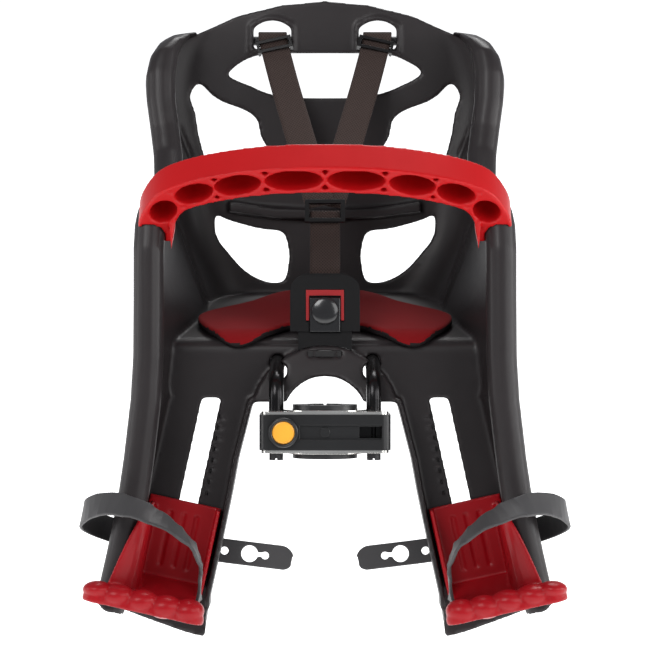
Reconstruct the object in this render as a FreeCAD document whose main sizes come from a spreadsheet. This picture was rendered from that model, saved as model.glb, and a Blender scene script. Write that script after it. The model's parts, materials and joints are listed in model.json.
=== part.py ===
import FreeCAD, Part
import math
import os
import re
from FreeCAD import Placement, Rotation, Vector

# Child seat that hangs on a bicycle's handlebar stem.
#
# Every piece is drawn in the stem frame: X to the right of a person who looks at the seat from the
# front, Y to the back, Z up along the stem, with the origin in the middle of the stem clamp. Each
# piece is then leaned back by stem_lean about X, so that the seat stands as it does on a bicycle.

os.makedirs("parts", exist_ok=True)
doc = FreeCAD.newDocument("HandlebarSeat")
sheet = doc.addObject("Spreadsheet::Sheet", "Sizes")

SIZES = [
    # stance
    ("stem_lean", 17.0),
    # stem clamp bracket
    ("stem_diameter", 28.6),
    ("liner_wall", 3.4),
    ("liner_flange_diameter", 52.0),
    ("liner_flange_thickness", 4.0),
    ("bracket_width", 104.0),
    ("bracket_height", 28.0),
    ("bracket_depth", 58.0),
    ("bracket_corner", 7.0),
    ("bracket_split", 1.0),
    ("plate_thickness", 2.4),
    ("plate_margin", 1.5),
    ("recess_length", 65.0),
    ("recess_height", 11.5),
    ("recess_depth", 2.5),
    ("recess_offset", 12.4),
    ("window_length", 17.8),
    ("window_height", 9.0),
    ("boss_diameter", 7.7),
    ("clamp_screw_diameter", 5.0),
    ("clamp_screw_head", 9.0),
    ("clamp_screw_head_height", 4.0),
    ("clamp_screw_spacing_x", 51.0),
    ("clamp_screw_spacing_z", 17.0),
    ("clamp_screw_end", 18.0),
    # release button and latch
    ("button_diameter", 18.4),
    ("button_offset", 32.8),
    ("button_proud", 4.0),
    ("button_thickness", 5.5),
    ("button_travel", 3.0),
    ("button_shank", 7.0),
    ("button_spring_wire", 0.8),
    ("spring_seat", 2.0),
    ("bezel_width", 2.2),
    ("bezel_proud", 1.2),
    ("latch_height", 5.0),
    ("latch_thickness", 4.0),
    ("latch_web", 1.0),
    ("latch_play", 0.6),
    ("latch_tooth", 3.6),
    ("latch_grip", 1.8),
    ("latch_travel", 2.5),
    ("latch_gap", 0.4),
    # steel fork that carries the seat
    ("rod_play", 0.1),
    ("rod_diameter", 12.0),
    ("rod_spacing", 78.0),
    ("rod_clearance", 0.1),
    ("rod_bend_radius", 18.0),
    ("rod_corner_height", 39.0),
    ("rod_tip_length", 6.5),
    ("rod_tip_inset", 0.4),
    ("fork_reach", 150.0),
    ("fork_rear_radius", 20.0),
    # fork clamps under the pan
    ("fork_clamp_length", 16.0),
    ("fork_clamp_side", 7.0),
    ("fork_clamp_lid", 4.0),
    ("fork_clamp_front", 79.0),
    ("fork_clamp_rear", 126.0),
    ("fork_screw_diameter", 4.0),
    ("fork_screw_head", 8.0),
    # seat shell
    ("shell_wall", 4.0),
    ("pan_front_y", 50.0),
    ("pan_front_z", 72.0),
    ("pan_nose_radius", 13.0),
    ("leg_back_y", 50.0),
    ("inner_wall_front", 19.0),
    ("rim_diameter", 25.4),
    ("rim_wall", 3.0),
    ("rim_proud", 0.8),
    ("back_depth", 187.0),
    ("slot_width", 15.2),
    ("slot_top", 44.5),
    ("slot_bottom", -108.0),
    ("slot_top_x", 89.0),
    ("leg_tilt", 12.4),
    ("notch_pitch", 8.3),
    ("notch_count", 8.0),
    ("notch_depth", 1.6),
    ("apron_rise", 68.0),
    ("apron_foot", 22.4),
    ("apron_half_width", 58.5),
    ("apron_front", 20.0),
    ("apron_lean", 22.0),
    ("arch_half_width", 31.6),
    ("arch_rise", 43.0),
    ("rod_hole", 15.6),
    ("strap_slot_width", 32.8),
    ("strap_slot_height", 25.0),
    ("strap_slot_x", 46.2),
    ("strap_slot_z", 339.5),
    ("strap_slot_rim", 3.0),
    ("waist_ledge_depth", 7.0),
    ("waist_ledge_height", 9.0),
    # guard bar
    ("guard_pitch", 41.0),
    ("guard_seat_y", -6.0),
    ("guard_seat_z", 162.0),
    ("guard_half_width", 149.5),
    ("guard_width", 28.0),
    ("guard_thickness", 27.0),
    ("guard_skin", 2.5),
    ("guard_fang", 5.0),
    # seat pad
    ("pad_thickness", 7.0),
    ("pad_gap", 0.7),
    # harness
    ("web_width", 25.0),
    ("web_thickness", 1.6),
    ("slide_width", 31.0),
    ("slide_height", 11.0),
    ("slide_thickness", 4.5),
    ("slide_bar", 2.6),
    ("adjuster_width", 33.5),
    ("adjuster_height", 21.5),
    ("adjuster_bar", 3.4),
    ("adjuster_y", 76.5),
    ("adjuster_z", 177.5),
    ("adjuster_depth", 5.0),
    ("anchor_diameter", 8.0),
    ("anchor_y", 192.0),
    ("anchor_z", 335.0),
    ("anchor_length", 44.0),
    ("buckle_width", 57.0),
    ("buckle_height", 46.0),
    ("buckle_depth", 12.0),
    ("buckle_y", 38.0),
    ("buckle_bottom", 79.5),
    ("tongue_width", 31.0),
    ("tongue_bar", 2.5),
    ("tongue_depth", 4.0),
    ("press_width", 25.4),
    ("press_height", 29.0),
    ("press_travel", 2.5),
    ("press_depth", 6.0),
    ("press_proud", 2.0),
    ("press_dome", 15.0),
    ("fit_gap", 0.3),
    # footrests and foot straps
    ("foot_rest_height", -62.0),
    ("foot_width", 60.0),
    ("foot_height", 62.0),
    ("foot_plate", 3.2),
    ("foot_lip_width", 98.0),
    ("foot_lobe_count", 4.0),
    ("foot_lobe_diameter", 21.0),
    ("foot_inner", -28.0),
    ("lip_inner", 7.0),
    ("tray_fall", 11.5),
    ("peg_height", -33.0),
    ("foot_key_length", 24.0),
    ("foot_key_thickness", 3.0),
    ("strap_width", 20.0),
    ("strap_thickness", 2.6),
    ("strap_peg_diameter", 7.0),
    ("strap_peg_head", 12.0),
]

for row, (alias, value) in enumerate(SIZES, start=1):
    sheet.set(f"A{row}", alias.replace("_", " "))
    sheet.set(f"B{row}", str(value))
    sheet.setAlias(f"B{row}", alias)
doc.recompute()
ALIASES = {alias for alias, _ in SIZES}


class Sizes:
    """The sheet's numbers by name, for shapes that no single feature can make."""

    def __getattr__(self, alias):
        return float(getattr(sheet, alias))


size = Sizes()


# Helpers: bound primitives, booleans and the leaned placement

def formula(text):
    """A formula over the sheet's names, in the form that setExpression takes."""
    return re.sub(r"[a-z]\w*", lambda word: "Sizes." + word[0] if word[0] in ALIASES else word[0], str(text))


def bind(thing, **formulas):
    for name, text in formulas.items():
        thing.setExpression(name.replace("_at_", ".Base."), formula(text))
    return thing


def block(name, wide, deep, tall, x="0", y="0", z="0"):
    """A box with its middle at x, y, z."""
    thing = doc.addObject("Part::Box", name)
    bind(thing, Length=wide, Width=deep, Height=tall)
    return bind(thing, Placement_at_x=f"({x}) - ({wide}) / 2", Placement_at_y=f"({y}) - ({deep}) / 2",
                Placement_at_z=f"({z}) - ({tall}) / 2")


def rod(name, diameter, length, x="0", y="0", z="0", along="z"):
    """A round bar from x, y, z towards plus X, plus Y or plus Z."""
    thing = doc.addObject("Part::Cylinder", name)
    turns = {"x": Rotation(Vector(0, 1, 0), 90), "y": Rotation(Vector(1, 0, 0), -90), "z": Rotation()}
    thing.Placement = Placement(Vector(0, 0, 0), turns[along])
    bind(thing, Radius=f"({diameter}) / 2", Height=length)
    return bind(thing, Placement_at_x=x, Placement_at_y=y, Placement_at_z=z)


def fused(name, things):
    thing = doc.addObject("Part::MultiFuse", name)
    thing.Shapes = things
    thing.Refine = True
    return thing


def cut(name, base, tools):
    thing = doc.addObject("Part::Cut", name)
    thing.Base = base
    thing.Tool = tools[0] if len(tools) == 1 else fused(name + "Tools", tools)
    thing.Refine = True
    return thing


def rounded(name, base, radius, wanted):
    """The base with a fillet on the edges that the test wanted picks."""
    doc.recompute()
    thing = doc.addObject("Part::Fillet", name)
    thing.Base = base
    edges = base.Shape.Edges
    thing.Edges = [(i + 1, radius, radius) for i, edge in enumerate(edges) if wanted(edge)]
    return thing


def solid(name, shape):
    """A document object for a shape that Part's own functions made."""
    thing = doc.addObject("Part::Feature", name)
    thing.Shape = shape
    return thing


NODES = []


def node(label, thing, local=None):
    """A finished sub-part: its name, and its place leaned back with the stem."""
    thing.Label = label
    lean = Placement(Vector(0, 0, 0), Rotation(Vector(-1, 0, 0), size.stem_lean))
    thing.Placement = lean.multiply(local) if local else lean
    if local is None:
        thing.setExpression("Placement.Rotation.Angle", formula("stem_lean"))
    NODES.append(thing)
    return thing


def upright(edge):
    """True for a straight edge along Z."""
    return isinstance(edge.Curve, Part.Line) and abs(edge.tangentAt(edge.FirstParameter).z) > 0.999


def mirrored(shape):
    """The same shape on the other side of the seat."""
    return shape.mirror(Vector(0, 0, 0), Vector(1, 0, 0))


def polygon(points):
    return Part.makePolygon([Vector(*p) for p in points] + [Vector(*points[0])])


def front_prism(outline, near, far):
    """A front-view outline of X and Z, filled from depth near to depth far."""
    face = Part.Face(polygon([(x, near, z) for x, z in outline]))
    return face.extrude(Vector(0, far - near, 0))


def side_prism(outline, left, right):
    """A side-view outline of Y and Z, filled from left to right."""
    face = Part.Face(polygon([(left, y, z) for y, z in outline]))
    return face.extrude(Vector(right - left, 0, 0))


def smooth_prism(outline, near, far):
    """A front-view outline whose points are joined by one smooth closed curve."""
    curve = Part.BSplineCurve()
    curve.interpolate([Vector(x, near, z) for x, z in outline], PeriodicFlag=True)
    return Part.Face(Part.Wire(curve.toShape())).extrude(Vector(0, far - near, 0))


def ribbon(stations, width, thickness):
    """A flat band through stations, each a middle point and the direction of its width."""
    middle_line = Part.BSplineCurve()
    middle_line.interpolate([Vector(*point) for point, _ in stations])
    knots = middle_line.getKnots()
    wires = []
    for i, (start, end) in enumerate(zip(knots, knots[1:])):
        turns = (Vector(*stations[i][1]), Vector(*stations[i + 1][1]))
        shares = (0.0, 0.34, 0.67) if i < len(knots) - 2 else (0.0, 0.34, 0.67, 1.0)
        for share in shares:
            at = start + (end - start) * share
            middle = middle_line.value(at)
            ahead = Vector(*middle_line.tangent(at)[0])
            across = turns[0] * (1 - share) + turns[1] * share
            across = (across - ahead * across.dot(ahead)).normalize() * (width / 2)
            out = ahead.cross(across).normalize() * (thickness / 2)
            corners = [middle + across + out, middle + across - out, middle - across - out,
                       middle - across + out]
            wires.append(Part.makePolygon(corners + corners[:1]))
    return Part.makeLoft(wires, True, True)


def swept(path, diameter):
    """A round bar along a wire."""
    start = path.Edges[0]
    ahead = start.tangentAt(start.FirstParameter)
    ring = Part.Wire(Part.Circle(start.valueAt(start.FirstParameter), ahead, diameter / 2).toShape())
    return path.makePipeShell([ring], True, False)


def rounded_path(corners, radii):
    """Straight runs through the corners, joined by tangent arcs of the given radii."""
    corners = [Vector(*c) for c in corners]
    edges = []
    last = corners[0]
    for before, corner, after, radius in zip(corners, corners[1:], corners[2:], radii):
        back = (before - corner).normalize()
        ahead = (after - corner).normalize()
        half = back.getAngle(ahead) / 2
        reach = radius / math.tan(half)
        middle = corner + (back + ahead).normalize() * (radius / math.sin(half) - radius)
        edges.append(Part.LineSegment(last, corner + back * reach).toShape())
        edges.append(Part.Arc(corner + back * reach, middle, corner + ahead * reach).toShape())
        last = corner + ahead * reach
    edges.append(Part.LineSegment(last, corners[-1]).toShape())
    return Part.Wire(edges)


# Seat shell: one moulding

# Plan of the bucket at each height: half width in front, half width at the back, corner radius.
BUCKET_LEVELS = [
    (25.0, 155.2, 99.0, 58.0),
    (60.0, 153.2, 101.0, 58.0),
    (112.0, 152.8, 111.0, 52.0),
    (165.0, 152.8, 131.0, 44.0),
    (215.0, 152.0, 139.0, 40.0),
    (251.0, 155.0, 146.0, 38.0),
    (287.0, 159.0, 152.0, 38.0),
    (319.0, 157.0, 149.0, 40.0),
    (345.0, 152.0, 141.0, 42.0),
    (374.0, 148.0, 134.0, 44.0),
]
# Side view of the rolled rim: depth and height up the rail, over the arm and up the wing.
RIM_SIDE = [(0.0, 60.0), (0.0, 105.0), (0.0, 146.0), (3.5, 163.0), (14.0, 174.0), (32.0, 181.0),
            (66.0, 192.0), (92.0, 206.0), (109.0, 228.0), (118.0, 252.0), (122.0, 275.0), (126.0, 298.0),
            (133.0, 318.0), (144.0, 333.0), (158.0, 343.0)]
# Where the rim runs out into the backrest: place and share of its full width.
RIM_END = [((127.0, 172.0, 347.5), 0.72), ((114.0, 180.0, 349.5), 0.36)]
# Outer edge of a leg guard in the front view, from the pan down to the foot.
LEG_OUTER = [(60.0, 153.2), (24.8, 155.2), (-23.0, 160.8), (-50.0, 164.8), (-72.0, 168.8), (-97.0, 174.0),
             (-120.0, 179.2), (-136.0, 183.0)]
# Inner edge of a leg guard in the front view.
LEG_INNER = [(66.0, 48.0), (22.4, 58.2), (-21.0, 69.5), (-55.7, 75.8), (-88.0, 82.6), (-144.0, 95.0)]
# How far the outer wall draws in from the rail to the back of the channel.
LEG_TAPER = [(60.0, 22.0), (25.0, 23.0), (-60.0, 14.0), (-140.0, 8.0)]
LEG_FOOT = [(183.0, -136.0), (171.5, -147.0), (145.0, -157.0), (114.0, -168.0), (99.0, -171.5), (95.0, -144.0)]
BACK_TOP = [(150.0, 300.0), (149.0, 322.0), (141.5, 333.0), (128.0, 340.0), (117.0, 345.4), (100.0, 349.8),
            (74.5, 356.7), (38.6, 365.5), (0.0, 369.3)]
LENS_WINDOW = [(-84.0, 306.7), (-74.0, 315.0), (-58.0, 321.6), (-30.0, 323.2), (0.0, 323.3), (30.0, 323.2),
               (58.0, 321.6), (74.0, 315.0), (84.0, 306.7), (72.0, 297.5), (52.0, 289.0), (26.0, 284.6),
               (0.0, 284.0), (-26.0, 284.6), (-52.0, 289.0), (-72.0, 297.5)]
SIDE_WINDOW = [(115.7, 292.0), (110.5, 296.2), (101.8, 289.0), (85.3, 278.8), (68.0, 272.0), (59.5, 264.0),
               (57.0, 252.0), (48.0, 236.0), (47.0, 220.0), (60.0, 211.0), (84.0, 210.0), (98.0, 216.0),
               (106.1, 234.0), (111.5, 256.0), (115.0, 275.0)]
LUMBAR_WINDOW = [(94.0, 181.0), (72.2, 173.0), (48.7, 168.3), (37.0, 165.5), (33.5, 158.0), (33.5, 131.0),
                 (36.5, 124.0), (44.0, 122.0), (56.6, 124.8), (72.2, 134.4), (86.1, 150.0), (96.5, 173.0)]


def between(table, height):
    """The table's values at a height, on straight lines between its rows."""
    rows = sorted(table)
    height = min(max(height, rows[0][0]), rows[-1][0])
    for low, high in zip(rows, rows[1:]):
        if height <= high[0]:
            part = (height - low[0]) / (high[0] - low[0])
            return [a + (b - a) * part for a, b in zip(low[1:], high[1:])]


def bucket_half_width(depth, height):
    front, back, corner = between(BUCKET_LEVELS, height)
    return front + (back - front) * depth / (size.back_depth - corner)


def bucket_solid(wall):
    """The bucket's outer form, or its inside when a wall is taken off."""
    wires = []
    for height, front, back, corner in BUCKET_LEVELS:
        rear = size.back_depth - wall
        front, back, corner = front - wall, back - wall, corner - wall
        lead = front + (front - back) * 0.2
        turn = Vector(back - corner * (1 - math.sin(math.radians(45))), 0, 0)
        turn.y = rear - corner * (1 - math.cos(math.radians(45)))
        right = [Vector(lead, -40, height), Vector(back, rear - corner, height),
                 Vector(turn.x, turn.y, height), Vector(back - corner, rear, height)]
        left = [Vector(-p.x, p.y, p.z) for p in right]
        wires.append(Part.Wire([
            Part.LineSegment(right[0], right[1]).toShape(),
            Part.Arc(right[1], right[2], right[3]).toShape(),
            Part.LineSegment(right[3], left[3]).toShape(),
            Part.Arc(left[3], left[2], left[1]).toShape(),
            Part.LineSegment(left[1], left[0]).toShape(),
            Part.LineSegment(left[0], right[0]).toShape(),
        ]))
    return Part.makeLoft(wires, True, False)


def pan_height(depth):
    """Height of the pan's upper face, which lies level once the seat leans with the stem."""
    return size.pan_front_z + (depth - size.pan_front_y) * math.tan(math.radians(size.stem_lean))


def pan_profile(inset, foot):
    """Side view of the pan's top and the leg backs in front, and of all the room below and behind."""
    nose = size.pan_nose_radius - inset
    front = size.leg_back_y + inset
    upright_share = math.cos(math.radians(size.stem_lean))
    steps = [math.radians((90 - size.stem_lean) * share / 4) for share in range(5)]
    centre_y = size.leg_back_y + size.pan_nose_radius
    centre_z = pan_height(centre_y) - size.pan_nose_radius / upright_share
    curve = [(centre_y - nose * math.cos(a), centre_z + nose * math.sin(a)) for a in steps]
    rear = (size.back_depth + 30, pan_height(size.back_depth + 30) - inset / upright_share)
    return [(front, foot)] + curve + [rear, (rear[0], foot)]


def rim_stations():
    """The rolled edge's middle points and widths: up the leg's front, over the arm, up the wing, into the back."""
    inset = size.rim_diameter / 2 - size.rim_proud
    leg = [Vector(x - inset, 0, z) for z, x in reversed(LEG_OUTER[1:])]
    leg[0] = leg[0] + (leg[0] - leg[1]).normalize() * 8
    upper = [Vector(bucket_half_width(y, z) - inset, y, z) for y, z in RIM_SIDE]
    return [(middle, 1.0) for middle in leg + upper] + [(Vector(*point), part) for point, part in RIM_END]


def rim_tube(diameter, stations):
    """A tube of twelve flats along the rolled edge's middle line."""
    middles = [middle for middle, _ in stations]
    wires = []
    for i, (middle, part) in enumerate(stations):
        ahead = (middles[min(i + 1, len(middles) - 1)] - middles[max(i - 1, 0)]).normalize()
        side = Vector(1, 0, 0) - ahead * ahead.x
        side.normalize()
        rise = ahead.cross(side)
        ring = []
        for k in range(12):
            angle = math.radians(15 + 30 * k)
            ring.append(middle + (side * math.cos(angle) + rise * math.sin(angle)) * (diameter * part / 2))
        wires.append(Part.makePolygon(ring + ring[:1]))
    return Part.makeLoft(wires, True, True)


def rim_front(room):
    """Side view of all that lies in front of the rim's middle line."""
    side = [(y + room, z) for y, z in RIM_SIDE]
    return [(-80, -10)] + [(room, -10)] + side + [(163 + room, 380), (-80, 380)]


def arc_points(half_width, foot, rise, steps):
    """An arch from foot to rise over a half width, as points in the front view."""
    high = rise - foot
    radius = (half_width ** 2 + high ** 2) / (2 * high)
    top = math.asin(min(1.0, half_width / radius))
    angles = [top * (1 - 2 * i / steps) for i in range(steps + 1)]
    return [(-radius * math.sin(a), rise - radius + radius * math.cos(a)) for a in angles]


def leg_plan(height):
    """Plan of one leg guard at a height: an open channel with outer, back and inner wall."""
    wall = size.shell_wall
    outer = between(LEG_OUTER, height)[0]
    inner = between(LEG_INNER, height)[0]
    rear = size.leg_back_y + wall
    level = between(LEG_TAPER, height)[0]
    return [(outer, 0), (outer - level, rear), (inner, rear), (inner, size.inner_wall_front),
            (inner + wall, size.inner_wall_front), (inner + wall, size.leg_back_y),
            (outer - level - wall, size.leg_back_y), (outer - wall, 0)]


def leg_guard():
    """One leg guard: a channel that opens forwards, with its footrest slot and dents."""
    heights = [25.0] + [z for z, _ in LEG_OUTER[2:]] + [-178.0]
    wires = [polygon([(x, y, z) for x, y in leg_plan(z)]) for z in heights]
    shape = Part.makeLoft(wires, True, True)
    foot = front_prism([(230, -110)] + LEG_FOOT + [(60, -163), (60, -260), (230, -260)], -60, 120)
    half = size.slot_width / 2
    slot = front_prism([(slot_x(size.slot_top) - half, size.slot_top),
                        (slot_x(size.slot_top) + half, size.slot_top),
                        (slot_x(size.slot_bottom) + half, size.slot_bottom),
                        (slot_x(size.slot_bottom) - half, size.slot_bottom)], 30, size.leg_back_y + 20)
    dents = []
    for i in range(int(size.notch_count)):
        z = size.slot_top - 36 - i * size.notch_pitch
        x = slot_x(z) - half - 5
        dents.append(Part.makeBox(5.5, size.notch_depth * 2, 4.2,
                                  Vector(x - 2.75, size.leg_back_y - size.notch_depth, z - 2.1)))
    return shape, [foot, slot] + dents


def slot_x(z):
    """Middle of the footrest slot at a height: the slot leans out with the leg."""
    return size.slot_top_x + (size.slot_top - z) * math.tan(math.radians(size.leg_tilt))


def apron():
    """The arched bib between the legs: a vault that takes in the fork, and its leaning front."""
    wall = size.shell_wall
    half = size.apron_half_width
    over = arc_points(half, size.apron_foot, size.apron_rise, 14)
    under = arc_points(half - wall, size.apron_foot, size.apron_rise - wall, 14)
    vault = front_prism(over + under[::-1], size.apron_front, size.pan_front_y + 18)
    lean = math.tan(math.radians(size.apron_lean))

    def front_line(z):
        return size.apron_front + (z - size.apron_foot) * lean

    low, high = size.apron_foot - 5, size.apron_rise + 10
    behind = side_prism([(front_line(low), low), (front_line(high), high), (90, high), (90, low)], -half, half)
    slab = side_prism([(front_line(low), low), (front_line(high), high),
                       (front_line(high) + wall, high), (front_line(low) + wall, low)], -half, half)
    bib = front_prism(over + [(half, size.apron_foot), (-half, size.apron_foot)], 0, 90)
    arch = front_prism(arc_points(size.arch_half_width, size.apron_foot - 1, size.arch_rise, 12), -10, 90)
    holes = []
    for side in (-1, 1):
        x = side * size.rod_spacing / 2
        z = fork_height(size.apron_front + 8)
        holes.append(Part.makeCylinder(size.rod_hole / 2, 60, Vector(x, 0, z), Vector(0, 1, 0)))
    plate = slab.common(bib).cut([arch] + holes)
    slot = Part.makeBox(27, 60, 4.8, Vector(-13.5, 0, 58.6))
    bars = [Part.makeBox(1.6, 3, 6, Vector(x - 0.8, front_line(61) + 0.6, 58)) for x in (-8.7, 8.7)]
    return vault.common(behind).fuse(plate).cut(slot).fuse(bars)


def fork_height(depth):
    """Height of the fork's middle line where it runs back under the pan."""
    return size.rod_corner_height + depth * math.tan(math.radians(size.stem_lean))


def fork_saddles():
    """Blocks under the pan that sit on the fork, drilled for the clamp screws."""
    blocks = []
    half = size.rod_diameter / 2 + size.fork_clamp_side
    for depth in (size.fork_clamp_front, size.fork_clamp_rear):
        for side in (-1, 1):
            x = side * size.rod_spacing / 2
            half_long = size.fork_clamp_length / 2
            ends = (depth - half_long, depth + half_long)
            profile = [(y, fork_height(y)) for y in ends] + [(y, pan_height(y) - 1) for y in reversed(ends)]
            blocks.append(side_prism(profile, x - half, x + half))
    return blocks


def back_windows():
    """The openings that show the background through the backrest."""
    depths = (110, 230)
    cuts = [smooth_prism(LENS_WINDOW, *depths)]
    for window in (SIDE_WINDOW, LUMBAR_WINDOW):
        shape = smooth_prism(window, *depths)
        cuts += [shape, mirrored(shape)]
    for side in (-1, 1):
        cuts.append(strap_slot(side, 0, *depths))
    return cuts


def strap_slot(side, margin, near, far):
    """The D-shaped slot that a shoulder strap passes through, with an even margin round it."""
    half = size.strap_slot_width / 2 + margin
    x = side * size.strap_slot_x
    low = size.strap_slot_z - size.strap_slot_height / 2 - margin
    high = size.strap_slot_z + size.strap_slot_height / 2 + margin
    crown = arc_points(half, high - 7, high, 8)
    return front_prism([(x + px, pz) for px, pz in crown] + [(x + half, low), (x - half, low)], near, far)


def slot_rims():
    """The raised rims round the strap slots."""
    front = size.back_depth - size.shell_wall - 2
    return [strap_slot(side, size.strap_slot_rim, front, size.back_depth) for side in (-1, 1)]


def waist_ledge():
    """The curved step across the back, above the lumbar openings."""
    under = [(-84.0, 184.0), (-45.0, 178.5), (0.0, 176.5), (45.0, 178.5), (84.0, 184.0)]
    band = under + [(x, z + size.waist_ledge_height) for x, z in reversed(under)]
    front = size.back_depth - size.shell_wall - size.waist_ledge_depth
    return front_prism(band, front, size.back_depth - 1)


def fork_corners():
    """The fork's corner points: up one rod, back under the pan, across, and down the other rod."""
    half = size.rod_spacing / 2
    low = -size.bracket_height / 2 - size.plate_thickness - size.fit_gap
    rear = fork_height(size.fork_reach)
    return [(half, 0, low), (half, 0, size.rod_corner_height), (half, size.fork_reach, rear),
            (-half, size.fork_reach, rear), (-half, 0, size.rod_corner_height), (-half, 0, low)]


def fork_rod(diameter):
    """The whole bent rod of the fork, at any diameter."""
    radii = [size.rod_bend_radius, size.fork_rear_radius, size.fork_rear_radius, size.rod_bend_radius]
    return swept(rounded_path(fork_corners(), radii), diameter)


def fork_screw_places():
    """Where each screw stands: beside each rod at both clamps."""
    side_step = size.rod_diameter / 2 + size.fork_clamp_side / 2
    places = []
    for depth in (size.fork_clamp_front, size.fork_clamp_rear):
        for side in (-1, 1):
            for step in (-side_step, side_step):
                places.append((side * size.rod_spacing / 2 + step, depth))
    return places


def fork_screw(x, depth, grow):
    """One screw, square to the pan; its hole when it is grown."""
    lean = math.radians(size.stem_lean)
    up = Vector(0, -math.sin(lean), math.cos(lean))
    under = size.rod_diameter / 2 + size.fork_clamp_lid
    foot = Vector(x, depth, fork_height(depth)) - up * under
    shank = Part.makeCylinder(size.fork_screw_diameter / 2 + grow, under + 5, foot, up)
    head = Part.makeCylinder(size.fork_screw_head / 2, 2.6, foot - up * 2.6, up)
    return shank if grow else shank.fuse(head).removeSplitter()


def seat_shell():
    """The whole moulding."""
    wall = size.shell_wall
    outside = bucket_solid(0)
    walls = outside.cut(bucket_solid(wall))
    below = side_prism(pan_profile(wall, -200), -200, 200)
    above = side_prism(rim_front(0), -200, 200)
    top = [(-x, z) for x, z in BACK_TOP] + [(x, z) for x, z in BACK_TOP[::-1][1:]]
    lid = front_prism([(-200, 300)] + top + [(200, 300), (200, 400), (-200, 400)], -60, 250)
    walls = walls.cut([below, above, lid])
    leg, leg_cuts = leg_guard()
    tube = rim_tube(size.rim_diameter, rim_stations())
    bore = rim_tube(size.rim_diameter - 2 * size.rim_wall, rim_stations()[:-2])
    leg = leg.fuse(tube).cut(leg_cuts)
    walls = walls.fuse([leg, mirrored(leg)])
    walls = walls.cut([bore, mirrored(bore)])
    pan_sheet = side_prism(pan_profile(0, 25), -200, 200).cut(below).common(outside)
    centre = arc_points(size.apron_half_width - wall, 15, size.apron_rise - wall, 14)
    pan_sheet = pan_sheet.cut(front_prism(centre, -10, size.pan_front_y + wall))
    shape = walls.fuse([pan_sheet, apron(), waist_ledge()] + fork_saddles() + slot_rims())
    shape = shape.cut(back_windows())
    holes = [fork_screw(x, depth, 0.001) for x, depth in fork_screw_places()]
    return shape.cut([fork_rod(size.rod_diameter + 2 * size.rod_play)] + holes)


node("seat_shell", solid("SeatShell", seat_shell()))


# Stem bracket

def half_clamp(name, side):
    """One half of the clamp's body: side -1 is in front, 1 is behind."""
    depth = "(bracket_depth - bracket_split) / 2"
    body = block(name + "Body", "bracket_width", depth, "bracket_height",
                 y=f"{side} * (bracket_depth + bracket_split) / 4")
    face = side * size.bracket_depth / 2
    body = rounded(name + "Rounded", body, size.bracket_corner,
                   lambda edge: upright(edge) and abs(edge.Vertexes[0].Y - face) < 0.01)
    cuts = [rod(name + "Bore", "stem_diameter + 2 * liner_wall", "bracket_height + 2", z="-bracket_height / 2 - 1")]
    for hand in (-1, 1):
        cuts.append(rod(f"{name}Rod{hand + 1}", "rod_diameter + 2 * rod_clearance", "bracket_height + 2",
                        x=f"{hand} * rod_spacing / 2", z="-bracket_height / 2 - 1"))
        for level in (-1, 1):
            cuts.append(rod(f"{name}Screw{hand + 1}{level + 1}", "clamp_screw_diameter",
                            "clamp_screw_end + bracket_depth / 2 + 1", x=f"{hand} * clamp_screw_spacing_x / 2",
                            y="-clamp_screw_end", z=f"{level} * clamp_screw_spacing_z / 2", along="y"))
    return body, cuts


rear_body, rear_cuts = half_clamp("ClampRear", 1)
node("clamp_rear", cut("ClampRear", rear_body, rear_cuts))

front_body, front_cuts = half_clamp("ClampFront", -1)
bezel = rod("Bezel", "button_diameter + 2 * bezel_width", "bezel_proud + 2", x="-button_offset",
            y="-bracket_depth / 2 - bezel_proud", along="y")
front_body = fused("ClampFrontBezelled", [front_body, bezel])
latch_rear = "(stem_diameter / 2 + liner_wall + latch_play)"
latch_front = f"({latch_rear} + latch_thickness)"
tooth_x = "(-rod_spacing / 2 + rod_diameter / 2 + latch_gap + latch_tooth / 2)"
front_cuts += [
    block("Recess", "recess_length", "2 * recess_depth", "recess_height", x="recess_offset",
          y="-bracket_depth / 2"),
    block("Window", "window_length", "bracket_depth / 2 - rod_diameter / 2 + 1", "window_height",
          x="recess_offset + recess_length / 2 - window_length / 2",
          y="-(bracket_depth / 2 + rod_diameter / 2 + 1) / 2"),
    rod("ButtonPocket", "button_diameter + 2 * fit_gap", "button_thickness + button_travel + spring_seat",
        x="-button_offset",
        y="-bracket_depth / 2 - button_proud", along="y"),
    rod("ShankHole", "button_shank + 2 * fit_gap", f"bracket_depth / 2 - {latch_rear}", x="-button_offset",
        y="-bracket_depth / 2", along="y"),
    block("LatchRoom", "button_shank + 2 * latch_travel + 6", "latch_thickness + 2 * latch_gap",
          "latch_height + 2 * latch_gap", x="-button_offset + latch_travel / 2",
          y=f"-({latch_rear} + latch_thickness / 2)"),
    block("ToothRoom", "latch_tooth + latch_travel + 2 * latch_gap", f"{latch_rear}",
          "latch_height + 2 * latch_gap", x=f"{tooth_x} + latch_travel / 2", y=f"-{latch_rear} / 2 - latch_gap"),
]
clamp_front = cut("ClampFront", front_body, front_cuts)
boss = rod("Boss", "boss_diameter", "recess_depth - 1", y="-bracket_depth / 2 + 1", along="y")
node("clamp_front", fused("ClampFrontBossed", [clamp_front, boss]))


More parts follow.
